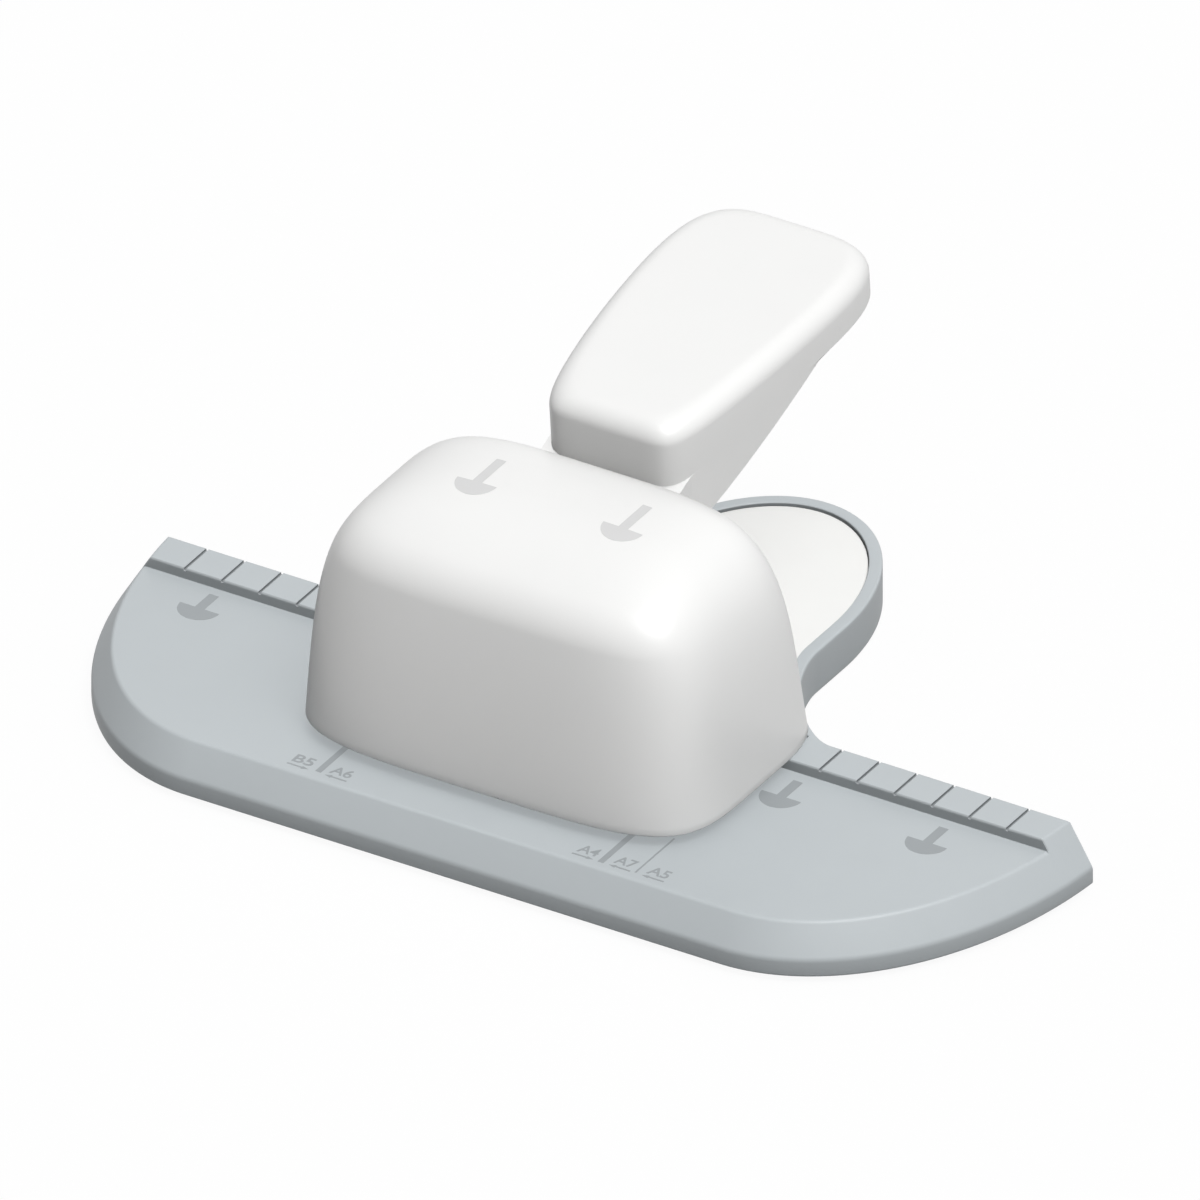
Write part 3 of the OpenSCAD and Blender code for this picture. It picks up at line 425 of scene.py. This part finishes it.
def domeLevels(faceSteps, arcSteps):
    s, arcs = housing, browArcs()
    start, end, last = arcs["start"], arcs["end"], math.radians(s["crownEnd"])
    levels = [s["foot"] + (s["browAt"] - s["foot"]) * i / faceSteps for i in range(1, faceSteps)]
    for i in range(arcSteps):
        levels.append(arcs["brow"][1] + s["brow"] * math.sin(start + (end - start) * i / arcSteps))
    for i in range(arcSteps + 1):
        levels.append(arcs["shoulder"][1] + arcs["wide"] * math.sin(end + (last - end) * i / arcSteps))
    return levels


def buildHousing():
    s = housing
    rings = [domeRing(z, s["wall"]) for z in reversed(domeLevels(8, 10))]
    rings.append(domeRing(s["foot"], s["wall"], 0, s["rimRound"]))
    rings.append(domeRing(s["foot"], s["wall"], -s["rimRound"]))
    for turn in s["rimTurns"]:
        a = math.radians(turn)
        rings.append(domeRing(s["foot"], 0, s["rimRound"] * (1 - math.sin(a)), s["rimRound"] * (1 - math.cos(a))))
    rings += [domeRing(z) for z in domeLevels(20, 22)]
    piece = loft("housing_dome", [inUnit(ring) for ring in rings])
    for side in (-1, 1):
        around = circle(side * s["bossX"], s["bossY"], s["bossR"])
        post = loft("boss", [inUnit([(x, y, z) for x, y in around]) for z in (s["foot"] + s["bossGap"], s["bossTop"])])
        combine(piece, post, "UNION")
    half, low, high = s["slotHalf"], s["slotLow"], s["slotHigh"]
    ring = [(-half, low), (half, low), (half, high), (-half, high)]
    slot = loft("slot", [inUnit([(x, y, z) for x, z in ring]) for y in (0.0, s["slotBack"])])
    combine(piece, slot, "DIFFERENCE")
    return settle(piece, "base", ["housing_shell"], whitePlastic)


housingPiece = buildHousing()
print("housing built:", len(housingPiece.data.vertices), "points")


handle = {"half": 28.4, "wideBack": 16.6, "narrow": 5.0, "flare": 2.5, "t": 11.1, "thin": 3.7, "thinAt": 0.62,
          "crown": 0.8, "edge": 3.2, "edgeSteps": 12, "topShare": 0.94, "topSteps": 10, "tilt": 5.0,
          "square": 9.0, "squareBack": 4.4, "midY": 33.577, "midZ": 59.283, "around": 240,
          "neck": [(6.45, 45.35), (7.35, 44.1), (8.3, 42.0), (9.1, 40.0), (10.6, 37.3), (41.3, 52.7), (11.0, 47.0)],
          "neckHalf": 25, "neckDrop": 9, "neckRun": 36, "neckSteps": 80, "planTop": 200, "flush": 0.02,
          "neckRound": 0.4, "ledge": 4.3, "lineY": 8.7, "lineZ": 39.549, "slope": 18.8,
          "channelHalf": 10.3, "channelLow": 28, "channelAhead": 2, "mouthDrop": 0.4, "webRise": 4.63, "webStart": 7.0,
          "neckBreak": 2.3, "breakRise": 1.8, "armLength": 28.5}


def padHalf(share):
    # half width from 0 at the front to 1 at the back
    return handle["wideBack"] - handle["narrow"] * (1 - min(max(share, 0), 1)) ** handle["flare"]


def padSide(u):
    # half width of the pad's outline at u from its middle
    share = u / handle["half"]
    power = handle["square"] if share < 0 else handle["squareBack"]
    return padHalf((share + 1) / 2) * (1 - abs(share) ** power) ** (1 / power)


def padRing(inset, level, crown, rise=0):
    s = handle
    tilt = math.radians(s["tilt"])
    ring = []
    for i in range(s["around"]):
        phi = 2 * math.pi * i / s["around"]
        x, y = superPoint(phi, s["square"] if math.sin(phi) < 0 else s["squareBack"])
        u, share = (s["half"] - inset) * y, (y + 1) / 2
        z = level - crown * (u / s["half"]) ** 2 + rise * min(1, share / s["thinAt"])
        ring.append(((padHalf(share) - inset) * x, s["midY"] + u * math.cos(tilt) - z * math.sin(tilt),
                     s["midZ"] + u * math.sin(tilt) + z * math.cos(tilt)))
    return ring


def sidePrism(name, profile, low, high):
    # profile holds (y, z) points, seen from the right
    return loft(name, [inUnit([(x, y, z) for y, z in profile]) for x in (low, high)])


def buildPad():
    s = handle
    rings = [padRing(0, -s["t"], 0, s["thin"])]
    for step in range(s["edgeSteps"] + 1):
        a = math.radians(step * 90 / s["edgeSteps"])
        rings.append(padRing(s["edge"] * (1 - math.cos(a)), -s["edge"] * (1 - math.sin(a)), s["crown"]))
    for step in range(1, s["topSteps"] + 1):
        inset = s["edge"] + (padHalf(0) * s["topShare"] - s["edge"]) * step / s["topSteps"]
        rings.append(padRing(inset, 0, s["crown"]))
    return loft("handle_pad", [inUnit(ring) for ring in rings], topStrip=True)


def buildNeck():
    # flush with the pad's sides; its front corners stand out as a small ledge
    s = handle
    neck = sidePrism("neck", s["neck"], -s["neckHalf"], s["neckHalf"])
    tilt = math.radians(s["tilt"])
    front, shift, r = s["neck"][0][0], s["midY"] + s["neckDrop"] * math.sin(tilt), s["neckRound"]
    edge = []
    for i in range(s["neckSteps"] + 1):
        y = front + s["neckRun"] * i / s["neckSteps"]
        u = max((y - shift) / math.cos(tilt), s["ledge"] - s["half"])
        edge.append((padSide(u) - s["flush"], y))
    turns = [t * math.pi / 16 for t in range(9)]
    corner = [(edge[0][0] - r + r * math.sin(t), front + r * (1 - math.cos(t))) for t in turns]
    edge = corner + [p for p in edge if p[1] > front + r]
    edge += [(-x, y) for x, y in reversed(edge)]
    plan = loft("neckPlan", [inUnit([(x, y, z) for x, y in edge]) for z in (0, s["planTop"])])
    return combine(neck, plan, "INTERSECT")


def buildHandle():
    s = handle
    piece = combine(buildPad(), buildNeck(), "UNION")

    # channel for the steel lever
    fall = math.tan(math.radians(s["slope"]))

    def line(y):
        return s["lineZ"] + (y - s["lineY"]) * fall

    mouth, end = s["lineY"] - s["channelAhead"], s["lineY"] + s["armLength"]
    start, bend = s["lineY"] + s["webStart"], s["lineY"] + s["neckBreak"]
    channel = [(mouth, s["channelLow"]), (end, s["channelLow"]), (end, line(end) + s["webRise"]),
               (start, line(start) + s["webRise"]), (bend, line(bend) + s["breakRise"]),
               (mouth, s["lineZ"] - s["mouthDrop"])]
    combine(piece, sidePrism("channel", channel, -s["channelHalf"], s["channelHalf"]), "DIFFERENCE")
    return settle(piece, "lever", ["handle_shell"], whitePlastic)


handlePiece = buildHandle()
print("handle built:", len(handlePiece.data.vertices), "points")


base = {"length": 164.9, "reach": 41.7, "flat": 93.0, "endCentre": 12.0, "band": 2.9, "bandSoft": 0.5,
        "bevelEnd": 4.1, "bevelFront": 4.3, "deck": 8.0, "deckRound": 0.45, "deckLap": 0.11,
        "footRound": 0.45, "footTurns": (0, 0.5, 1.05, math.pi / 2),
        "fence": 9.8, "fenceDeep": 6.7, "fenceRound": 0.35, "fenceFrom": 4.5,
        "tick": 6.5, "ticks": 11, "tickWide": 0.5, "tickDeep": 0.45, "tickSoft": 0.1, "tickOver": 0.5,
        "tickFront": -1, "tickBehind": 0.6,
        "tongueHalf": 20.3, "tongueReach": 70.0, "tongueLong": 29.0, "rootHalf": 38.5, "rootRun": 6.0, "rootFront": 0.5,
        "waistRun": 8.0, "waistPull": 9.0, "bendSteps": 48, "endSteps": 60,
        "lipTop": 6.7, "lipWide": 2.1, "lipRound": 0.45, "lipFoot": -0.95, "lipFootRound": 0.8,
        "riseLong": 10.0, "riseFront": -5, "riseUnder": 2, "riseHalf": 60,
        "lipTurns": (0, 0.4, 0.8, 1.2, math.pi / 2), "plateau": 16.9, "seatFrom": 3.0,
        "pocketFront": 17.9, "pocketFloor": 4.6, "pocketRound": 0.25, "coverRim": 2.2, "coverThick": 1.6,
        "dieSeat": [(-22.3, -16.3, 5.0), (22.3, 11.3, 20.0)], "chips": [(-20.0, -12.0, -1.0), (20.0, 2.5, 6.0)],
        "hollowWall": 5.5, "hollowTop": 5.6, "hollowBack": 4.3, "hollowLap": 0.3,
        "middle": [(-33.0, -80, -5), (33.0, 60, 20)],
        "bossAt": [(42, -8), (66, -14)], "bossR": 3.2, "bossEnds": (-1, 9)}


def wingLoop(z, k, trim, backY):
    s = base
    footB = s["reach"] + s["endCentre"]
    footA = (s["length"] / 2 - s["flat"] / 2) / math.sqrt(1 - ((s["fenceDeep"] - s["endCentre"]) / footB) ** 2)
    a, b = footA - s["bevelEnd"] * k - trim, footB - s["bevelFront"] * k - trim
    start = math.asin((backY - s["endCentre"]) / b)
    side = []
    for i in range(s["endSteps"] + 1):
        t = start + (-math.pi / 2 - start) * i / s["endSteps"]
        side.append((s["flat"] / 2 + a * math.cos(t), s["endCentre"] + b * math.sin(t), z))
    return [(-x, y, z) for x, y, z in side] + side[::-1]


def slopeAt(z):
    return (z - base["band"]) / (base["fence"] - base["band"])


def easeLevels(first, corner, last, steps=5):
    # points on the curve that rounds a corner, in any number of values
    points = []
    for i in range(steps + 1):
        t = i / steps
        points.append(tuple((1 - t) ** 2 * a + 2 * t * (1 - t) * b + t * t * c for a, b, c in zip(first, corner, last)))
    return points


def tongueEdge(inset, lowY=None, highY=None):
    # right-hand edge from the fence to the rear end, or between two y values
    s = base
    side, back, root = s["tongueHalf"] - inset, s["fenceDeep"] - inset, s["rootHalf"]
    midY = s["tongueReach"] - s["tongueLong"]
    waistY = midY - s["waistRun"]
    bend = [(root, back), (root - s["rootRun"], back), (side, waistY - s["waistPull"]), (side, waistY)]

    def onBend(t):
        u = 1 - t
        weights = (u ** 3, 3 * t * u * u, 3 * t * t * u, t ** 3)
        return sum(w * p[0] for w, p in zip(weights, bend)), sum(w * p[1] for w, p in zip(weights, bend))

    def timeAt(y):
        low, high = 0.0, 1.0
        for _ in range(40):
            mid = (low + high) / 2
            low, high = (mid, high) if onBend(mid)[1] < y else (low, mid)
        return low

    first = 0.0 if lowY is None else timeAt(lowY)
    final = 1.0 if highY is None else timeAt(highY)
    points = [onBend(first + (final - first) * i / s["bendSteps"]) for i in range(s["bendSteps"] + 1)]
    if highY is None:
        for i in range(s["endSteps"] + 1):
            a = math.radians(i * 90 / s["endSteps"])
            points.append((side * math.cos(a), midY + (s["tongueLong"] - inset) * math.sin(a)))
    return points


def mirrored(edge, z):
    # closed loop from a right-hand edge; a point on the middle line is used once
    left = [(-x, y) for x, y in reversed(edge) if x > 1e-6]
    return [(x, y, z) for x, y in edge + left]


def shiftUnit(points):
    return [(x + origin["unitX"], y, z) for x, y, z in points]


def baseLoft(name, rings):
    return loft(name, [onBase(ring) for ring in rings])


def tongueLoop(z, inset, highY=None):
    return shiftUnit(mirrored([(base["rootHalf"], base["rootFront"])] + tongueEdge(inset, None, highY), z))


def fenceLoop(z, k, trim):
    front, back = trim, base["fenceDeep"] - trim
    loop = wingLoop(z, k, 0, back)
    side = sorted(loop[len(loop) // 2:], key=lambda p: p[1])
    right = []
    for i in range(13):
        y = front + (back - front) * i / 12
        above = next(j for j, p in enumerate(side) if p[1] >= y - 1e-9)
        p, q = side[max(above - 1, 0)], side[above]
        share = 0 if q[1] == p[1] else (y - p[1]) / (q[1] - p[1])
        right.append((p[0] + (q[0] - p[0]) * share - trim, y, z))
    return [(-x, y, z) for x, y, z in reversed(right)] + right


def buildWings():
    # wings with their band, bevel and deck, and the fence along the back
    s = base
    r, soft = s["footRound"], s["bandSoft"]
    levels = [(r * (1 - math.cos(a)), 0, r * (1 - math.sin(a))) for a in s["footTurns"]]
    high = s["band"] + soft
    eased = easeLevels((s["band"] - soft, 0), (s["band"], 0), (high, slopeAt(high)), 6)
    low, edge = s["deck"] - s["deckRound"], slopeAt(s["deck"])
    eased += easeLevels((low, slopeAt(low)), (s["deck"], edge), (s["deck"], edge + s["deckLap"]))
    levels += [(z, k, 0) for z, k in eased]
    piece = baseLoft("base_body", [wingLoop(z, k, trim, s["fenceDeep"]) for z, k, trim in levels])

    r, top = s["fenceRound"], s["fence"]
    levels = [(s["fenceFrom"], slopeAt(s["fenceFrom"]), 0)]
    levels += easeLevels((top - r, slopeAt(top - r), 0), (top, 1, 0), (top, 1, r))
    return combine(piece, baseLoft("fence", [fenceLoop(*level) for level in levels]), "UNION")


def addTongue(piece):
    # tongue with its lip; its foot rises to the wings' underside
    s = base
    r, top = s["lipFootRound"], s["lipTop"]
    levels = [(s["lipFoot"] + r * (1 - math.cos(a)), r * (1 - math.sin(a))) for a in s["lipTurns"]]
    levels += easeLevels((top - s["lipRound"], 0), (top, 0), (top, s["lipRound"]))
    tongue = baseLoft("tongue", [tongueLoop(*level) for level in levels])
    front, back, under = s["riseFront"], s["fenceDeep"], s["lipFoot"] - s["riseUnder"]
    end = back + s["riseLong"]
    rise = [(end, under), (end, s["lipFoot"]), (back, 0), (front, 0), (front, under)]
    combine(tongue, sidePrism("rise", rise, -s["riseHalf"], s["riseHalf"]), "DIFFERENCE")
    combine(piece, tongue, "UNION")

    # raised seat behind the fence
    r, high = s["fenceRound"], s["fence"]
    levels = [(s["seatFrom"], 0)] + easeLevels((high - r, 0), (high, 0), (high, r))
    combine(piece, baseLoft("seat", [tongueLoop(z, inset, s["plateau"] - inset) for z, inset in levels]), "UNION")

    # pocket for the inlay, with a softened rim
    r, wide = s["pocketRound"], s["lipWide"]
    levels = [(s["pocketFloor"], wide, 0)] + easeLevels((top - r, wide, 0), (top, wide, 0), (top, wide - r, r))
    levels.append((top + 1, wide - r, r))
    rings = [shiftUnit(mirrored(tongueEdge(inset, s["pocketFront"] - ahead), z)) for z, inset, ahead in levels]
    combine(piece, baseLoft("pocket", rings), "DIFFERENCE")


def cutGrooves(piece):
    # ruler grooves across the fence
    s = base
    half, soft, deep, over = s["tickWide"] / 2, s["tickSoft"], s["fence"] - s["tickDeep"], s["fence"] + s["tickOver"]
    for i in range(-s["ticks"], s["ticks"] + 1):
        x = i * s["tick"]
        ring = [(x - half, over), (x - half, deep + soft), (x - half + soft, deep),
                (x + half - soft, deep), (x + half, deep + soft), (x + half, over)]
        ends = (s["fenceDeep"] + s["tickBehind"], s["tickFront"])
        combine(piece, baseLoft("groove", [[(px, y, pz) for px, pz in ring] for y in ends]), "DIFFERENCE")


def cutRooms(piece):
    # room for the die, the chips and the bottom cover, and the hollow wings
    s = base
    combine(piece, box("dieSeat", *inUnit(s["dieSeat"])), "DIFFERENCE")
    combine(piece, box("chips", *inUnit(s["chips"])), "DIFFERENCE")
    rim, ends = s["coverRim"], (-1, s["coverThick"])
    combine(piece, baseLoft("coverWing", [wingLoop(z, 0, rim, s["fenceDeep"] - rim) for z in ends]), "DIFFERENCE")
    combine(piece, baseLoft("coverTongue", [tongueLoop(z, rim) for z in ends]), "DIFFERENCE")
    ends = (s["coverThick"] - s["hollowLap"], s["hollowTop"])
    hollow = baseLoft("hollow", [wingLoop(z, 0, s["hollowWall"], s["hollowBack"]) for z in ends])
    combine(hollow, box("middle", *inUnit(s["middle"])), "DIFFERENCE")
    for x, y in s["bossAt"]:
        for side in (-1, 1):
            ring = circle(side * x, y, s["bossR"])
            combine(hollow, baseLoft("boss", [[(px, py, z) for px, py in ring] for z in s["bossEnds"]]), "DIFFERENCE")
    combine(piece, hollow, "DIFFERENCE")


def buildBase():
    piece = buildWings()
    addTongue(piece)
    cutGrooves(piece)
    cutRooms(piece)
    return settle(piece, "base", ["base_shell"], greyPlastic)


basePiece = buildBase()
print("base built:", len(basePiece.data.vertices), "points")


inlay = {"inset": 2.2, "floor": 4.6, "top": 6.2, "round": 0.35, "gap": 0.1}


def buildInlay():
    s = inlay
    r = s["round"]
    levels = [(s["floor"], 0)] + easeLevels((s["top"] - r, 0), (s["top"], 0), (s["top"], r))
    rings = []
    for z, trim in levels:
        rings.append(shiftUnit(mirrored(tongueEdge(s["inset"] + trim, base["pocketFront"] + s["gap"] + trim), z)))
    return settle(baseLoft("tongue_plate", rings), "base", ["tongue_inlay"], inlayPlastic)


buildInlay()
print("inlay built")


springs = {"postX": 20.3, "y": -3.1, "low": 11.9, "long": 14.2, "wide": 6.0, "wire": 0.8, "turns": 6, "travel": 6.35,
           "perTurn": 28, "clear": 0.03}


def buildSpring(side, node):
    s = springs
    steps = s["turns"] * s["perTurn"]
    climb = (s["long"] - s["wire"]) / s["turns"] / (math.pi * s["wide"])
    rings = []
    for i in range(steps + 1):
        t = 2 * math.pi * s["turns"] * i / steps
        out = Vector((math.cos(t), math.sin(t), 0))
        along = Vector((-math.sin(t), math.cos(t), climb)).normalized()
        up = along.cross(out)
        z = s["low"] + s["wire"] / 2 + s["clear"] + (s["long"] - s["wire"] - 2 * s["clear"]) * i / steps
        middle = out * s["wide"] / 2 + Vector((side * s["postX"], s["y"], z))
        turns = [k * math.pi / 6 for k in range(12)]
        rings.append(inUnit([tuple(middle + (out * math.cos(a) + up * math.sin(a)) * s["wire"] / 2) for a in turns]))
    piece = settle(loft(node + "_coil", rings), "base", [node], springSteel, 50)
    foot = inUnit([(side * s["postX"], s["y"], s["low"])])[0]
    tuple(c * mm for c in foot)
    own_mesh(piece)


buildSpring(-1, "left_spring")
buildSpring(1, "right_spring")
print("springs built")


# deck marks: x, flat side of the cap, end of the stem
marks = {"capR": 3.4, "stemHalf": 0.82, "deck": [(-65.3, -6.0, -1.75), (36.5, -6.95, -2.1), (61.9, -6.95, -2.15)],
         "topX": [-14.3, 11.1], "topCapY": -10.5, "topStemTop": -3.4, "thick": 0.02, "topRaise": 1.5, "lap": 0.1,
         "rayFrom": 60.0}


def markLoop(x, capY, stemTop):
    r, stem = marks["capR"], marks["stemHalf"]
    turns = [t * math.pi / 24 for t in range(25)]
    cap = [(x - r * math.cos(t), capY - r * math.sin(t)) for t in turns]
    return [(x - stem, capY)] + cap + [(x + stem, capY), (x + stem, stemTop), (x - stem, stemTop)]


# guide lines: x, low end, high end, width; labels: word, left side, width, way the arrow points
guides = {"lines": [(-26.2, -36.7, -28.0, 1.0), (23.1, -37.0, -27.5, 1.0), (29.05, -36.8, -25.5, 0.3)],
          "labels": [("B5", -31.3, 3.4, 1), ("A6", -24.75, 3.5, -1), ("A4", 18.3, 3.4, 1), ("A7", 24.7, 3.4, -1),
                     ("A5", 30.45, 3.5, -1)],
          "baseline": -36.05, "tall": 2.2, "extrude": 0.01, "bold": 0.017,
          "underline": -36.85, "lineThick": 0.32, "arrow": 1.15, "barb": 2.4, "over": 0.1, "under": 0.2}


def wordMesh(word):
    curve = bpy.data.curves.new("word", "FONT")
    curve.body = word
    curve.extrude = guides["extrude"]
    curve.offset = guides["bold"]
    holder = bpy.data.objects.new("word", curve)
    bpy.context.scene.collection.objects.link(holder)
    graph = bpy.context.evaluated_depsgraph_get()
    mesh = bpy.data.meshes.new_from_object(holder.evaluated_get(graph))
    bpy.data.objects.remove(holder)
    return mesh


def buildDeckPrint():
    s = guides
    deckZ, thick = base["deck"], marks["thick"]
    bm = bmesh.new()

    def slab(loop):
        points = onBase([(x, y, deckZ + z) for z in (-thick, thick) for x, y in loop])
        made = [bm.verts.new([c * mm for c in p]) for p in points]
        count = len(loop)
        bm.faces.new(made[:count][::-1])
        bm.faces.new(made[count:])
        for i in range(count):
            k = (i + 1) % count
            bm.faces.new((made[i], made[k], made[count + k], made[count + i]))

    def label(word, left, wide):
        mesh = wordMesh(word)
        xs, ys = [v.co.x for v in mesh.vertices], [v.co.y for v in mesh.vertices]
        lowX, lowY = min(xs), min(ys)
        sizeX, sizeY = wide / (max(xs) - lowX), s["tall"] / (max(ys) - lowY)
        for v in mesh.vertices:
            z = deckZ + thick * (1 if v.co.z > 0 else -1)
            spot = (left + (v.co.x - lowX) * sizeX, s["baseline"] + (v.co.y - lowY) * sizeY, z)
            v.co = Vector(onBase([spot])[0]) * mm
        bm.from_mesh(mesh)
        bpy.data.meshes.remove(mesh)

    for place in marks["deck"]:
        slab(markLoop(*place))
    for x, low, high, wide in s["lines"]:
        slab([(x - wide / 2, low), (x + wide / 2, low), (x + wide / 2, high), (x - wide / 2, high)])
    for word, left, wide, points in s["labels"]:
        y, half = s["underline"], s["lineThick"] / 2
        ends = (left + wide + s["over"], left - s["under"])
        tip, tail = ends if points > 0 else ends[::-1]
        barb = tip - points * s["arrow"]
        slab([(tail, y - half), (barb, y - half), (barb, y + half), (tail, y + half)][::points])
        slab([(barb, y - half * s["barb"]), (tip, y), (barb, y + half * s["barb"])][::points])
        label(word, left, wide)
    return settle(addPiece("deck_print", bm), "base", [], deckInk)


buildDeckPrint()
print("deck print built")


def buildTopMarks():
    s = marks
    skin = BVHTree.FromObject(housingPiece, bpy.context.evaluated_depsgraph_get())
    bm = bmesh.new()

    def onDome(x, y):
        start = onBase([(x, y, s["rayFrom"])])[0]
        return skin.ray_cast(Vector(start) * mm, Vector((0, 0, -1)))[0]

    def strip(rows):
        # a thin skin on the housing from rows of (x, y) points
        top, low = [[[bm.verts.new(onDome(x, y) + Vector((0, 0, raised * mm))) for x, y in row] for row in rows]
                    for raised in (s["thick"] * s["topRaise"], -s["thick"])]
        last, wide = len(rows) - 1, len(rows[0]) - 1
        for j in range(last):
            for i in range(wide):
                bm.faces.new((top[j][i], top[j][i + 1], top[j + 1][i + 1], top[j + 1][i]))
                bm.faces.new((low[j][i], low[j + 1][i], low[j + 1][i + 1], low[j][i + 1]))
            for i in (0, wide):
                bm.faces.new((top[j][i], top[j + 1][i], low[j + 1][i], low[j][i]))
        for j in (0, last):
            for i in range(wide):
                bm.faces.new((top[j][i], top[j][i + 1], low[j][i + 1], low[j][i]))

    columns = [i / 4 - 1 for i in range(9)]
    turns = [math.radians(t * 6) for t in range(15)] + [math.radians(88)]
    r, stem, capY = s["capR"], s["stemHalf"], s["topCapY"]
    stemLong = s["topStemTop"] - capY + s["lap"]
    for x in s["topX"]:
        strip([[(x + r * math.cos(a) * c, capY - r * math.sin(a)) for c in columns] for a in turns])
        strip([[(x + stem * c, capY - s["lap"] + stemLong * j / 10) for c in columns] for j in range(11)])
    return settle(addPiece("top_marks", bm), "base", [], topInk)


buildTopMarks()
print("housing marks built")


# the floor lies a hair under the feet; lamps: name, strength, spread, side it comes from, whether it casts shadows
stageSet = {"floor": 4000, "floorLow": -0.02, "floorTone": 0.96, "glow": 0.75, "ambient": 0.22,
            "lamps": [("keyLight", 0.3, 25.0, (0.41, -0.2, 0.89), True),
                      ("fillLight", 2.5, 40.0, (0.41, -0.21, 0.888), False)]}


def rayMask(pen, *rays):
    mask = 0.0
    for ray in rays:
        mask = pen.maths("MAXIMUM", pen.add("ShaderNodeLightPath", out=ray), mask)
    return mask


def buildFloor(look):
    half, low, tone = look["floor"], look["floorLow"], look["floorTone"]
    floor = newPiece("floor", [(-half, -half, low), (half, -half, low), (half, half, low), (-half, half, low)],
                     [(0, 1, 2, 3)])
    material, pen = newMaterial("paleFloor")
    seen = rayMask(pen, "Is Camera Ray", "Is Glossy Ray")
    pale = pen.add("ShaderNodeBsdfDiffuse", None, {"Color": (tone, tone, tone, 1.0)})
    glow = pen.add("ShaderNodeEmission", None, {"Color": (1.0, 1.0, 1.0, 1.0), "Strength": 1.0})
    finishTree(pen, pen.add("ShaderNodeMixShader", None, {0: seen * look["glow"], 1: pale, 2: glow}))
    floor.data.materials.append(material)


def buildWorld(look):
    world = bpy.data.worlds.new("studio")
    bpy.context.scene.world = world
    world.use_nodes = True
    world.node_tree.nodes.clear()
    pen = Tone(world.node_tree)
    seen = rayMask(pen, "Is Camera Ray", "Is Glossy Ray", "Is Transmission Ray")
    soft, white = [pen.add("ShaderNodeBackground", None, {"Color": (1.0, 1.0, 1.0, 1.0), "Strength": strength})
                   for strength in (look["ambient"], 1.0)]
    finishTree(pen, pen.add("ShaderNodeMixShader", None, {0: seen, 1: soft, 2: white}), "ShaderNodeOutputWorld")


def hangLamps(look):
    for name, power, spread, side, shades in look["lamps"]:
        data = bpy.data.lights.new(name, "SUN")
        data.energy = power
        data.angle = math.radians(spread)
        data.use_shadow = shades
        if not shades:
            data.cycles.max_bounces = 0  # direct light only
        lamp = bpy.data.objects.new(name, data)
        lamp.rotation_mode = "QUATERNION"
        lamp.rotation_quaternion = Vector(side).to_track_quat("Z", "Y")
        bpy.context.scene.collection.objects.link(lamp)


buildFloor(stageSet)
buildWorld(stageSet)
hangLamps(stageSet)
print("stage and light set")
